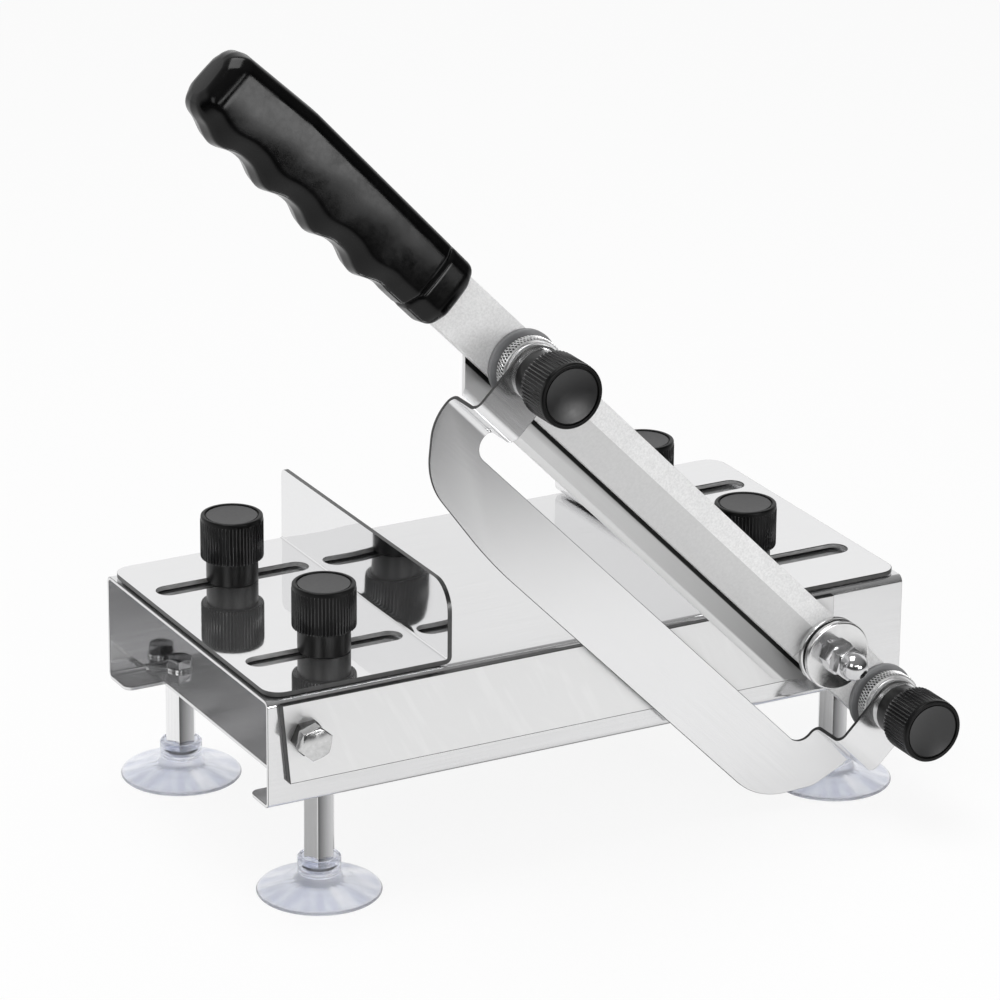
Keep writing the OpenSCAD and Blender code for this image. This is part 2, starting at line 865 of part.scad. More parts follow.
function grip_ring(s, n) =
    let (inset = end_inset(min(s, handle_l - s), handle_end_r) + crease_at(s))
    let (up = grip_top(s) - inset, down = grip_low(s) - inset, half_t = handle_t / 2 - inset)
    let (mid = (up - down) / 2, half_h = (up + down) / 2, p = 0.62)
    [for (i = [0 : n - 1])
        let (c = cos(360 * i / n), t = sin(360 * i / n))
        [handle_start + s, handle_mid + half_t * sign(c) * pow(abs(c), p),
            mid + half_h * sign(t) * pow(abs(t), p)]];

module handle() {
    n = 28;
    near = [for (i = [0 : 5]) handle_end_r * (1 - cos(90 * i / 5))];
    step = 3.2;
    count = floor((handle_l - 2 * handle_end_r) / step);
    middle = [for (i = [1 : count - 1]) handle_end_r + i * (handle_l - 2 * handle_end_r) / count];
    far = [for (i = [5 : -1 : 0]) handle_l - near[i]];
    stations = concat([0.15], [for (i = [1 : 5]) near[i]], middle, [for (i = [0 : 4]) far[i]],
        [handle_l - 0.15]);
    rings = len(stations);
    points = [for (s = stations) each grip_ring(s, n)];
    sides = [for (k = [0 : rings - 2], i = [0 : n - 1])
        let (a = k * n + i, b = k * n + (i + 1) % n)
        each [[a, a + n, b], [b, a + n, b + n]]];
    caps = [[for (i = [0 : n - 1]) i], [for (i = [n - 1 : -1 : 0]) (rings - 1) * n + i]];
    color(dark_plastic)
        on_arm()
            difference() {
                polyhedron(points, concat(sides, caps));
                plate(arm_y - run_gap, arm_t + 2 * run_gap)
                    translate([handle_start - 5, -tang_w / 2 - run_gap])
                        square([tang_end - handle_start + 5 + run_gap, tang_w + 2 * run_gap]);
            }
}

module upper_stud() {
    color(satin)
        on_arm()
            on_stud(upper_reach, blade_y + 0.1)
                cylinder(d = stud_d, h = stud_end - blade_y - 0.1);
}

module lower_stud() {
    color(satin)
        on_arm()
            on_stud(-lower_reach, arm_y)
                cylinder(d = stud_d, h = stud_end - arm_y);
}

module stud_pads() {
    color("#555658")
        on_arm()
            for (x = [upper_reach, -lower_reach])
                on_stud(x, arm_face)
                    intersection() {
                        ring(pad_d, stud_d + 2 * run_gap, pad_t);
                        translate([-pad_d, -arm_w / 2, -1])
                            cube([2 * pad_d, arm_w, pad_t + 2]);
                    }
}

// Profile of a tab: up from the plate, out along the step and up again as a flange
module tab_profile() {
    inner_r = fold_r - gauge_t;
    step_z = -fold_reach;
    translate([gauge_y, step_z + gauge_t - fold_r - 0.5])
        square([gauge_t, 0.5 + eps]);
    translate([gauge_y + fold_r, step_z + gauge_t - fold_r])
        intersection() {
            difference() {
                circle(fold_r);
                circle(inner_r);
            }
            translate([-fold_r, 0])
                square(fold_r);
        }
    translate([gauge_y + fold_r, step_z])
        square([flange_face - gauge_y - 2 * fold_r, gauge_t]);
    translate([flange_face - fold_r, step_z + fold_r])
        intersection() {
            difference() {
                circle(fold_r);
                circle(inner_r);
            }
            translate([0, -fold_r])
                square(fold_r);
        }
    translate([flange_y, step_z + fold_r])
        square([gauge_t, fold_reach - fold_r]);
}

module gauge_outline() {
    left = upper_reach + tab_w / 2;
    right = -lower_reach - tab_w / 2;
    notch_left = upper_reach - tab_w / 2;
    notch_right = tab_w / 2 - lower_reach;
    top = gauge_t - fold_reach - fold_r;
    polygon(rounded([[left, top, 0], [left, -bow_shoulder, bow_radii[0]],
        [left - bow_corner.x, bow_corner.y - gauge_outer, bow_radii[1]],
        [left - bow_toe, -gauge_outer, bow_radii[2]],
        [right + bow_heel, -gauge_outer, heel_radii[0]],
        [right + 5, -bow_shoulder - 7, heel_radii[1]],
        [right, top - 1, 0], [right, top, 0], [notch_right, top, 0],
        [notch_right, -gauge_inner, notch_r], [notch_left, -gauge_inner, notch_r],
        [notch_left, top, 0]], 12));
}

module gauge_plate() {
    color(bright)
        on_arm()
            difference() {
                union() {
                    plate(gauge_y, gauge_t)
                        gauge_outline();
                    for (x = [upper_reach, -lower_reach]) {
                        translate([x - tab_w / 2, 0, 0])
                            rotate([90, 0, 90])
                                linear_extrude(tab_w)
                                    tab_profile();
                        on_stud(x, flange_y)
                            cylinder(d = tab_w, h = gauge_t);
                    }
                }
                for (x = [upper_reach, -lower_reach])
                    on_stud(x, flange_y - 1)
                        cylinder(d = stud_d + 2 * bolt_gap, h = gauge_t + 2);
            }
}

module gauge_washers() {
    color(bright)
        on_arm()
            for (x = [upper_reach, -lower_reach], y = [nut_face, flange_face])
                on_stud(x, y)
                    ring(stem_d, stud_d + 2 * bolt_gap, gauge_washer_t);
}

module knurled_nut() {
    difference() {
        union() {
            linear_extrude(nut_h)
                polygon(ridged(nut_d / 2, 0.5, knurl_count));
            cylinder(d = nut_d - 3, h = nut_h + shoulder_h);
        }
        translate([0, 0, -1])
            cylinder(d = stud_d + 2 * run_gap, h = nut_h + shoulder_h + 2);
    }
}

module gauge_nut(x) {
    color(bright)
        on_arm()
            on_stud(x, nut_y)
                knurled_nut();
}

module gauge_knob(x) {
    color(dark_plastic)
        on_arm()
            on_stud(x, knob_y)
                knob(stud_d, gauge_cap_d, gauge_stem_h, gauge_cap_h);
}

module gauge_insert(x) {
    color("goldenrod")
        on_arm()
            on_stud(x, knob_y)
                insert(stud_d);
}

base_channel();
cross_straps();
foot_bolts();
foot_washers();
foot_posts();
suction_cups();
cup_screws();
wear_plate();
stop_bolt();
stop_lock_nut();
stop_nut();
clamp_studs();
pivot_bolt();
pivot_back_washer();
pivot_washers();
spring_washer();
pivot_nut();
dome_nut();
left_guide();
right_guide();
clamp_knob(0, -1);  // left_front_knob
clamp_insert(0, -1);  // left_front_insert
clamp_knob(0, 1);  // left_back_knob
clamp_insert(0, 1);  // left_back_insert
clamp_knob(1, -1);  // right_front_knob
clamp_insert(1, -1);  // right_front_insert
clamp_knob(1, 1);  // right_back_knob
clamp_insert(1, 1);  // right_back_insert
arm_bar();
pivot_bush();
blade();
handle();
upper_stud();
lower_stud();
stud_pads();
gauge_plate();
gauge_washers();
gauge_nut(upper_reach);  // upper_gauge_nut
gauge_nut(-lower_reach);  // lower_gauge_nut
gauge_knob(upper_reach);  // upper_gauge_knob
gauge_insert(upper_reach);  // upper_gauge_insert
gauge_knob(-lower_reach);  // lower_gauge_knob
gauge_insert(-lower_reach);  // lower_gauge_insert
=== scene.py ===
from math import acos, atan2, cos, pi, radians, sin, sqrt, tan

import bmesh
import bpy
from mathutils import Matrix, Vector


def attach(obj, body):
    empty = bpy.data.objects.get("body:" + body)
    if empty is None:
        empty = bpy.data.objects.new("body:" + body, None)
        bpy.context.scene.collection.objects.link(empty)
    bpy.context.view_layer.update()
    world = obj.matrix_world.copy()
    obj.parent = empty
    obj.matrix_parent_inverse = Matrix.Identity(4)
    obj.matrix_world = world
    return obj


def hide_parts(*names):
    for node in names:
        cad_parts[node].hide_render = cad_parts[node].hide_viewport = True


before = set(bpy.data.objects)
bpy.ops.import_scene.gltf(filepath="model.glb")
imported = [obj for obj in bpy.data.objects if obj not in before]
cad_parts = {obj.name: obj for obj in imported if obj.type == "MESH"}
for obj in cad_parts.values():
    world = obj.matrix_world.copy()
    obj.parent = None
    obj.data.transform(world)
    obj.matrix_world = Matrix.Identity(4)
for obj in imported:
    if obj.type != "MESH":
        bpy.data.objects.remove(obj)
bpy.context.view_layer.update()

MM = 0.001

# Base and feet
BASE_L, BASE_W, FLANGE_H = 300.0, 155.0, 47.0
FOOT_FROM_LEFT, FOOT_FROM_RIGHT, FOOT_FROM_SIDE = 28.2, 25.8, 11.0
FOOT_X = (FOOT_FROM_LEFT - BASE_L / 2, BASE_L / 2 - FOOT_FROM_RIGHT)
FOOT_Y = BASE_W / 2 - FOOT_FROM_SIDE
POST_L, POST_AF, POST_SEAT = 33.0, 12.0, 3.0
CUP_H, CUP_D, COLLAR_D = 15.6, 52.0, 18.0
CUP_SCREW_R, CUP_SCREW_HEAD_R, CUP_SCREW_LIP, CUP_SCREW_L = 3.05, 5.05, 2.0, 4.25
FLOOR_Z = POST_SEAT - FLANGE_H - POST_L - CUP_H

# Knobs: cap's diameter, stem's and cap's heights, and how far the disc's middle sinks
CLAMP_KNOB = (26.8, 10.1, 19.0, 0.15)
GAUGE_KNOB = (27.8, 9.0, 17.5, 1.6)
STEM_R, BORE_R, BORE_L = 11.0, 6.02, 14.0
RIM_W, RIB_ROOM, RIB_W, RIB_DEPTH, RIB_COUNT = 2.6, 0.75, 1.0, 0.74, 54
STUD_FROM_LEFT, STUD_FROM_RIGHT, STUD_Y = 42.4, 58.2, 43.25
STUD_X = (STUD_FROM_LEFT - BASE_L / 2, BASE_L / 2 - STUD_FROM_RIGHT)
KNOB_Z = 2.9

# Arm, with its angle above the bed at rest in degrees, blade and pivot
PIVOT_FROM_RIGHT, PIVOT_Z, ARM_REST = 44.4, -20.7, 45.4
PIVOT_X = BASE_L / 2 - PIVOT_FROM_RIGHT
ARM_Y, ARM_T, ARM_W = 5.7, 8.0, 24.0
BLADE_FRONT = BASE_W / 2 + ARM_Y
SPRING_Y, SPRING_R, SPRING_BORE, SPRING_TOP, SPRING_RISE = 16.3, 9.3, 5.1, 1.75, 0.35
SPRING_GAP, SPRING_TURN = 8, 200  # degrees

# Gauge nuts, knobs and pads on the arm's two studs
UPPER_REACH, LOWER_REACH, GAUGE_STUD_R = 212.5, 37.0, 4.05
PAD_D, PAD_T = 30.5, 2.0
NUT_Y, NUT_D, NUT_H, SHOULDER_H, SHOULDER_W = 18.2, 28.0, 5.5, 1.0, 1.6
KNURL_LEAN, KNURL_W, KNURL_DEPTH, KNURL_COUNT = 0.42, 0.50, 0.48, 60
KNOB_Y = 29.2

# Grip: its upper side rises to the palm swell, its lower side has the finger ridges
HANDLE_START, HANDLE_L, HANDLE_END_R, COLLAR = 257.5, 146.9, 8.0, 18.0
HANDLE_UP, PALM_SWELL, PALM_AT = 15.4, 2.4, 103.0
HANDLE_DOWN, FINGER_DEPTH, FINGER_PITCH, FINGER_START, COLLAR_DOWN = 18.8, 3.4, 28.2, 29.6, 15.8
HANDLE_T, CREASE, CREASE_HALF_W = 24.0, 0.9, 1.5
HANDLE_MID = ARM_Y + ARM_T / 2 + 1.8
GRIP_POINTS, GRIP_STEP = 96, 0.75


# ---------------------------------------------------------------- places

def at(x, y, z):
    return Matrix.Translation((x, y, z))


def outwards(x, z, y):
    """Local Z points out of the front flange, local Y up."""
    return at(x, -BASE_W / 2 - y, z) @ Matrix.Rotation(pi / 2, 4, "X")


# The arm's frame: X from the pivot to the handle, Y outwards, Z away from the cutting edge
ON_ARM = (at(PIVOT_X, -BASE_W / 2, PIVOT_Z) @ Matrix.Rotation(radians(ARM_REST), 4, "Y")
          @ Matrix.Rotation(pi, 4, "Z"))


def on_stud(x, y):
    return ON_ARM @ at(x, y, 0) @ Matrix.Rotation(-pi / 2, 4, "X")


# ---------------------------------------------------------------- finishes

ARM_GRAIN = (0, radians(ARM_REST), 0)


def new_finish(name):
    """A material with a Principled shader, and its tree."""
    finish = bpy.data.materials.new(name)
    finish.use_nodes = True
    tree = finish.node_tree
    tree.nodes.clear()
    shader = tree.nodes.new("ShaderNodeBsdfPrincipled")
    out = tree.nodes.new("ShaderNodeOutputMaterial")
    tree.links.new(shader.outputs["BSDF"], out.inputs["Surface"])
    return finish, tree, shader


def noise(tree, scale, turn=(0, 0, 0), detail=2.0, rough=0.5, warp=0.0):
    """Noise on Object coordinates, with a scale per metre along each turned axis."""
    mapping = tree.nodes.new("ShaderNodeMapping")
    mapping.vector_type = "TEXTURE"
    mapping.inputs["Rotation"].default_value = turn
    mapping.inputs["Scale"].default_value = tuple(1.0 / s for s in scale)
    field = tree.nodes.new("ShaderNodeTexNoise")
    field.inputs["Scale"].default_value = 1.0
    field.inputs["Detail"].default_value = detail
    field.inputs["Roughness"].default_value = rough
    field.inputs["Distortion"].default_value = warp
    tree.links.new(coordinates(tree), mapping.inputs["Vector"])
    tree.links.new(mapping.outputs["Vector"], field.inputs["Vector"])
    return field.outputs["Fac"]


def spread(tree, value, low, high, lowest=0.0, highest=1.0, smooth=False):
    """Maps low..high of a value to lowest..highest."""
    node = tree.nodes.new("ShaderNodeMapRange")
    if smooth:
        node.interpolation_type = "SMOOTHSTEP"
    for label, number in (("From Min", low), ("From Max", high),
                          ("To Min", lowest), ("To Max", highest)):
        node.inputs[label].default_value = number
    tree.links.new(value, node.inputs["Value"])
    return node.outputs["Result"]


def faded(tree, value, low, high, lowest=0.0, highest=1.0):
    """As spread, with a smooth start and end."""
    return spread(tree, value, low, high, lowest, highest, smooth=True)


def combined(tree, first, second, how="ADD"):
    """Two values, or a value and a number, put together by a sum or another operation."""
    node = tree.nodes.new("ShaderNodeMath")
    node.operation = how
    for socket, value in zip(node.inputs, (first, second)):
        if isinstance(value, (int, float)):
            socket.default_value = value
        else:
            tree.links.new(value, socket)
    return node.outputs["Value"]


def tones(tree, factor, dark, light):
    node = tree.nodes.new("ShaderNodeMix")
    node.data_type = "RGBA"
    node.inputs["A"].default_value = (*dark, 1.0)
    node.inputs["B"].default_value = (*light, 1.0)
    tree.links.new(factor, node.inputs["Factor"])
    return node.outputs["Result"]


def along_axes(tree, vector):
    """The X, Y and Z of a vector."""
    parts = tree.nodes.new("ShaderNodeSeparateXYZ")
    tree.links.new(vector, parts.inputs["Vector"])
    return parts.outputs


def coordinates(tree, kind="Object"):
    return tree.nodes.new("ShaderNodeTexCoord").outputs[kind]


def painted_shade_mix(tree, share, dark):
    """Mixes a dark tone into the colour of the tree's shader by the given share, as painted shade.
    """
    shader = next(n for n in tree.nodes if n.type == "BSDF_PRINCIPLED")
    node = tree.nodes.new("ShaderNodeMix")
    node.data_type = "RGBA"
    node.inputs["B"].default_value = (*dark, 1.0)
    tree.links.new(shader.inputs["Base Color"].links[0].from_socket, node.inputs["A"])
    tree.links.new(share, node.inputs["Factor"])
    tree.links.new(node.outputs["Result"], shader.inputs["Base Color"])


def relief(tree, shader, height, depth):
    """Bump of the given depth in millimetres."""
    node = tree.nodes.new("ShaderNodeBump")
    node.inputs["Strength"].default_value = 1.0
    node.inputs["Distance"].default_value = depth * MM
    tree.links.new(height, node.inputs["Height"])
    tree.links.new(node.outputs["Normal"], shader.inputs["Normal"])


def steel(name, tone, shine, grain, turn=(0, 0, 0), *, depth, streak, smear, contrast, metal=1.0):
    """Steel with lines along one axis, patches of wear and smears; below metal 1 it has a haze."""
    finish, tree, shader = new_finish(name)
    lines = noise(tree, grain, turn, detail=3.0, rough=0.6)
    patches = noise(tree, (28, 28, 28), turn, detail=4.0, rough=0.55, warp=0.6)
    light = tuple(min(1.0, t * (1 + contrast)) for t in tone)
    dark = tuple(t * (1 - contrast) for t in tone)
    wear = combined(tree, combined(tree, lines, 0.75, "MULTIPLY"),
                    combined(tree, patches, 0.25, "MULTIPLY"))
    tree.links.new(tones(tree, spread(tree, wear, 0.3, 0.7), dark, light),
                   shader.inputs["Base Color"])
    rough = combined(tree, spread(tree, lines, 0.3, 0.7, shine - streak, shine + streak),
                     spread(tree, patches, 0.35, 0.75, 0.0, smear))
    tree.links.new(rough, shader.inputs["Roughness"])
    shader.inputs["Metallic"].default_value = metal
    relief(tree, shader, lines, depth)
    return finish


def scratched_steel(name, tone, shine):
    """Satin sheet with faint scratches that run askew, as on the wear plate."""
    finish, tree, shader = new_finish(name)
    lines = noise(tree, (40, 290, 290), (0, radians(62), 0), detail=1.0)
    cross = noise(tree, (30, 240, 240), (0, radians(38), 0), detail=1.0)
    patches = noise(tree, (14, 14, 14))
    marks = combined(tree, spread(tree, lines, 0.55, 0.75),
                     spread(tree, cross, 0.6, 0.8, 0.0, 0.5))
    light = tuple(min(1.0, t * 1.02) for t in tone)
    dark = tuple(t * 0.985 for t in tone)
    tree.links.new(tones(tree, spread(tree, marks, 0.0, 1.0), dark, light),
                   shader.inputs["Base Color"])
    rough = combined(tree, spread(tree, patches, 0.3, 0.7, shine - 0.02, shine + 0.03),
                     combined(tree, marks, 0.02, "MULTIPLY"))
    tree.links.new(rough, shader.inputs["Roughness"])
    shader.inputs["Metallic"].default_value = 0.9
    return finish


def plastic(name, tone, shine, depth, grain=900, dust=0.0, lens=1.5):
    """Moulded black plastic: fine grain and scuffs that dull it and lighten it, more with dust."""
    finish, tree, shader = new_finish(name)
    fine = noise(tree, (grain, grain, grain), detail=3.0, rough=0.6)
    scuffs = noise(tree, (45, 45, 45), detail=5.0, rough=0.6, warp=1.2)
    light = tuple(t + 0.004 + dust for t in tone)
    tree.links.new(tones(tree, spread(tree, scuffs, 0.42, 0.75), tone, light),
                   shader.inputs["Base Color"])
    rough = combined(tree, spread(tree, scuffs, 0.4, 0.72, shine - 0.02, shine + 0.08),
                     spread(tree, fine, 0.3, 0.7, -0.02, 0.03))
    tree.links.new(rough, shader.inputs["Roughness"])
    shader.inputs["IOR"].default_value = lens
    relief(tree, shader, fine, depth)
    return finish


def vinyl(name):
    """Clear soft vinyl, faintly blue, with flow streaks from its collar that also lighten its
    colour as painted light patches, and a rim whitened as a painted highlight.
    """
    finish, tree, shader = new_finish(name)
    skin = tree.nodes.new("ShaderNodeAttribute")
    skin.attribute_name = "skin"
    stretch = tree.nodes.new("ShaderNodeMapping")
    stretch.inputs["Scale"].default_value = (3.4, 3.4, 1.1)
    tree.links.new(skin.outputs["Vector"], stretch.inputs["Vector"])
    flow = tree.nodes.new("ShaderNodeTexNoise")
    flow.inputs["Scale"].default_value = 1.0
    flow.inputs["Detail"].default_value = 3.0
    tree.links.new(stretch.outputs["Vector"], flow.inputs["Vector"])
    waves = noise(tree, (160, 160, 160), warp=0.4)
    streaks = flow.outputs["Fac"]
    # The rim is whitened as a painted highlight, and the streaks lighten the colour in painted
    # light patches.
    rim = spread(tree, along_axes(tree, skin.outputs["Vector"])["Z"], 0.90, 0.97)
    clear = combined(tree, spread(tree, streaks, 0.36, 0.64), rim, "MAXIMUM")
    tree.links.new(tones(tree, clear, (0.74, 0.77, 0.88), (0.93, 0.945, 0.99)),
                   shader.inputs["Base Color"])
    tree.links.new(spread(tree, streaks, 0.3, 0.7, 0.26, 0.14), shader.inputs["Roughness"])
    shader.inputs["Transmission Weight"].default_value = 0.86
    shader.inputs["IOR"].default_value = 1.36
    relief(tree, shader, combined(tree, streaks, combined(tree, waves, 0.15, "MULTIPLY")), 0.16)
    return finish


def rubber(name):
    finish, tree, shader = new_finish(name)
    fine = noise(tree, (1400, 1400, 1400), detail=3.0)
    patches = noise(tree, (90, 90, 90), detail=4.0)
    tree.links.new(tones(tree, spread(tree, patches, 0.3, 0.7), (0.20, 0.202, 0.207),
                         (0.27, 0.272, 0.278)), shader.inputs["Base Color"])
    tree.links.new(spread(tree, patches, 0.3, 0.7, 0.55, 0.75), shader.inputs["Roughness"])
    relief(tree, shader, fine, 0.03)
    return finish


def facet_with_painted_shade(name, tone):
    """Front facet of a drawn hexagon post: a darker copy of the posts' steel, with painted shade
    darker towards its left corner.
    """
    finish = steel(name, tone, 0.16, (700, 700, 24), depth=0.002, streak=0.03, smear=0.04,
                   contrast=0.06)
    tree = finish.node_tree
    side = POST_AF / sqrt(3) * MM
    span = (FOOT_X[1] - FOOT_X[0]) * MM
    from_left = combined(tree, along_axes(tree, coordinates(tree))["X"],
                         side / 2 - FOOT_X[0] * MM)
    share = combined(tree, combined(tree, from_left, 1 / span, "MULTIPLY"), 0.0, "FRACT")
    painted_shade_mix(tree, spread(tree, share, 0.0, side / span, 0.86, 0.12), (0.015, 0.015, 0.016))
    return finish


def blade_with_painted_shadow(name):
    """Ground blade with a painted shadow on its front where it comes out from under the arm, and
    darker towards the pivot.
    """
    finish = steel(name, (0.80, 0.80, 0.80), 0.3, (30, 1300, 1300), ARM_GRAIN, depth=0.0004,
                   streak=0.02, smear=0.02, contrast=0.015, metal=0.85)
    tree = finish.node_tree
    place = tree.nodes.new("ShaderNodeMapping")
    place.vector_type = "TEXTURE"
    place.inputs["Location"].default_value = (PIVOT_X * MM, 0.0, PIVOT_Z * MM)
    place.inputs["Rotation"].default_value = ARM_GRAIN
    tree.links.new(coordinates(tree), place.inputs["Vector"])
    on_arm = along_axes(tree, place.outputs["Vector"])
    wobble = spread(tree, noise(tree, (90, 90, 90)), 0.3, 0.7, -0.00004, 0.00004)
    below = combined(tree, combined(tree, on_arm["Z"], wobble), ARM_W / 2 * MM)
    # Painted shadow under the arm: a dark line along its lower edge, and a grey band below it.
    painted_shadow_line = spread(tree, below, -0.0024, -0.0016, 0.0, 1.0)
    smear = spread(tree, below, -0.0048, -0.0018, 0.0, 0.42)
    # Darker towards the pivot.
    near_pivot = spread(tree, on_arm["X"], -0.17, -0.02, 0.0, 0.62)
    in_front = spread(tree, on_arm["Y"], -BLADE_FRONT * MM, -(BLADE_FRONT - 0.5) * MM, 1.0, 0.0)
    dark = combined(tree, combined(tree, painted_shadow_line, smear, "MAXIMUM"), near_pivot, "MAXIMUM")
    painted_shade_mix(tree, combined(tree, dark, in_front, "MULTIPLY"), (0.012, 0.012, 0.012))
    return finish


GUIDE_MIRROR = steel("mirror polished guides", (0.82, 0.82, 0.825), 0.03, (60, 700, 700),
                     depth=0.0004, streak=0.012, smear=0.025, contrast=0.012, metal=0.95)
FENCE_MIRROR = steel("mirror polished fences", (0.86, 0.86, 0.865), 0.03, (60, 700, 700),
                     depth=0.0004, streak=0.012, smear=0.02, contrast=0.012)
# Near-black cut faces and broken edges of the guides: painted shade for the dark lines at their
# edges.
GUIDE_EDGE_PAINTED_SHADE = steel("broken edges of the guides", (0.10, 0.10, 0.10), 0.3, (300, 300, 300),
                   depth=0.004, streak=0.05, smear=0.08, contrast=0.2)
BASE_SHEET = steel("polished base sheet", (0.76, 0.76, 0.765), 0.10, (22, 1600, 1600),
                   depth=0.002, streak=0.04, smear=0.06, contrast=0.045, metal=0.93)
WEAR_SHEET = scratched_steel("scratched wear plate", (0.81, 0.81, 0.81), 0.32)
# Near-black cut faces and broken edges of the sheets: painted shade for the dark lines along their
# edges.
CUT_EDGE_PAINTED_SHADE = steel("sheared edges painted dark as shade", (0.09, 0.09, 0.09), 0.4, (300, 300, 300),
                 depth=0.01, streak=0.05, smear=0.08, contrast=0.3)
# Slot walls darker than the guides' steel: painted shade in the slots.
SLOT_EDGE_PAINTED_SHADE = steel("punched slot walls", (0.42, 0.42, 0.42), 0.5, (300, 300, 900),
                  depth=0.01, streak=0.05, smear=0.08, contrast=0.3, metal=0.5)
ARM_SATIN = steel("satin arm", (0.79, 0.79, 0.79), 0.45, (1100, 1100, 1100), ARM_GRAIN,
                  depth=0.010, streak=0.03, smear=0.03, contrast=0.13, metal=0.25)
# The arm's bevel: a darker copy of its satin steel, painted shade on the facet that faces down.
BEVEL_SATIN_PAINTED_SHADE = steel("satin bevel of the arm", (0.60, 0.60, 0.60), 0.42, (900, 900, 700), ARM_GRAIN,
                    depth=0.010, streak=0.03, smear=0.04, contrast=0.06, metal=0.4)
BLADE_STEEL = blade_with_painted_shadow("ground blade")
GAUGE_SHEET = steel("polished gauge plate", (0.82, 0.82, 0.825), 0.15, (24, 1500, 1500), ARM_GRAIN,
                    depth=0.002, streak=0.03, smear=0.05, contrast=0.03, metal=0.92)
POST_STEEL = steel("drawn hexagon posts", (0.88, 0.88, 0.885), 0.14, (900, 900, 24),
                   depth=0.004, streak=0.04, smear=0.05, contrast=0.05)
# The posts' front facets: a darker copy of their steel, painted shade.
POST_FACET_PAINTED_SHADE = facet_with_painted_shade("drawn hexagon posts, front facets", (0.72, 0.72, 0.73))
BOLT_STEEL = steel("plated bolts and nuts", (0.62, 0.62, 0.62), 0.16, (420, 420, 420),
                   depth=0.006, streak=0.05, smear=0.05, contrast=0.14)
# Dark copy of the bolt steel for the foot bolts' heads: painted shade.
BOLT_HEAD_PAINTED_SHADE = steel("foot bolt heads painted dark as shade", (0.26, 0.26, 0.265), 0.18, (420, 420, 420),
                   depth=0.006, streak=0.04, smear=0.04, contrast=0.25)
DARK_NUT = steel("blackened lock nut", (0.10, 0.10, 0.10), 0.35, (420, 420, 420),
                 depth=0.008, streak=0.05, smear=0.10, contrast=0.3)
CHROME = steel("chromed dome nut", (0.68, 0.68, 0.69), 0.13, (240, 240, 240),
               depth=0.008, streak=0.02, smear=0.06, contrast=0.06)
WASHER_STEEL = steel("scuffed pivot washers", (0.76, 0.76, 0.76), 0.15, (200, 200, 200),
                     depth=0.012, streak=0.05, smear=0.06, contrast=0.12)
KNURL_STEEL = steel("knurled nuts", (0.80, 0.80, 0.80), 0.33, (500, 500, 500),
                    depth=0.006, streak=0.04, smear=0.05, contrast=0.10)
# Near-black roots between the knurl's ridges: painted shade.
KNURL_ROOT_PAINTED_SHADE = steel("roots of the knurl, painted shade", (0.05, 0.05, 0.05), 0.4, (500, 500, 500),
                   depth=0.006, streak=0.05, smear=0.08, contrast=0.3)
BRASS = steel("brass inserts and bush", (0.78, 0.58, 0.27), 0.26, (500, 500, 500),
              depth=0.006, streak=0.05, smear=0.1, contrast=0.08)
GRIP_PLASTIC = plastic("gloss black grip", (0.0008, 0.0008, 0.0009), 0.17, grain=500,
                       depth=0.0008, dust=-0.003, lens=1.32)
STEM_PLASTIC = plastic("gloss black knob stems", (0.002, 0.002, 0.002), 0.33, depth=0.0006,
                       dust=-0.003, lens=1.45)
CAP_PLASTIC = plastic("knob caps between their ribs", (0.001, 0.001, 0.001), 0.34, depth=0.003,
                      dust=-0.003, lens=1.3)
# The ribs: a lighter copy of the caps' black plastic, painted highlight along each rib.
RIB_PLASTIC_PAINTED_LIGHT = plastic("ribs of the knob caps", (0.013, 0.013, 0.0135), 0.15, depth=0.001)
DISC_PLASTIC = plastic("dusty discs of the clamp knobs", (0.034, 0.034, 0.035), 0.42, grain=600,
                       depth=0.03, dust=0.014)
DISH_PLASTIC = plastic("hollow discs of the gauge knobs", (0.003, 0.003, 0.0035), 0.34, grain=600,
                       depth=0.006, lens=1.6)
PAD_RUBBER = rubber("grey rubber pads")
CUP_VINYL = vinyl("clear vinyl cups")


# ---------------------------------------------------------------- shapes

def corner_arc(a, b, c, r, n):
    """Arc of radius r that rounds the corner b between a and c."""
    a, b, c = Vector(a[:2]), Vector(b[:2]), Vector(c[:2])
    u, v = (a - b).normalized(), (c - b).normalized()
    half = acos(max(-1.0, min(1.0, u.dot(v)))) / 2
    centre = b + (u + v).normalized() * r / sin(half)
    first, last = b + u * r / tan(half), b + v * r / tan(half)
    start = atan2(first.y - centre.y, first.x - centre.x)
    stop = atan2(last.y - centre.y, last.x - centre.x)
    sweep = (stop - start + 3 * pi) % (2 * pi) - pi
    return [(centre.x + r * cos(start + sweep * i / n), centre.y + r * sin(start + sweep * i / n))
            for i in range(n + 1)]


def rounded(points, n):
    """Outline whose corners (x, y, radius) are rounded; a corner without a radius stays sharp."""
    outline = []
    for i, point in enumerate(points):
        if len(point) == 3 and point[2] > 0:
            outline += corner_arc(points[i - 1], point, points[(i + 1) % len(points)], point[2], n)
        else:
            outline.append(tuple(point[:2]))
    return outline


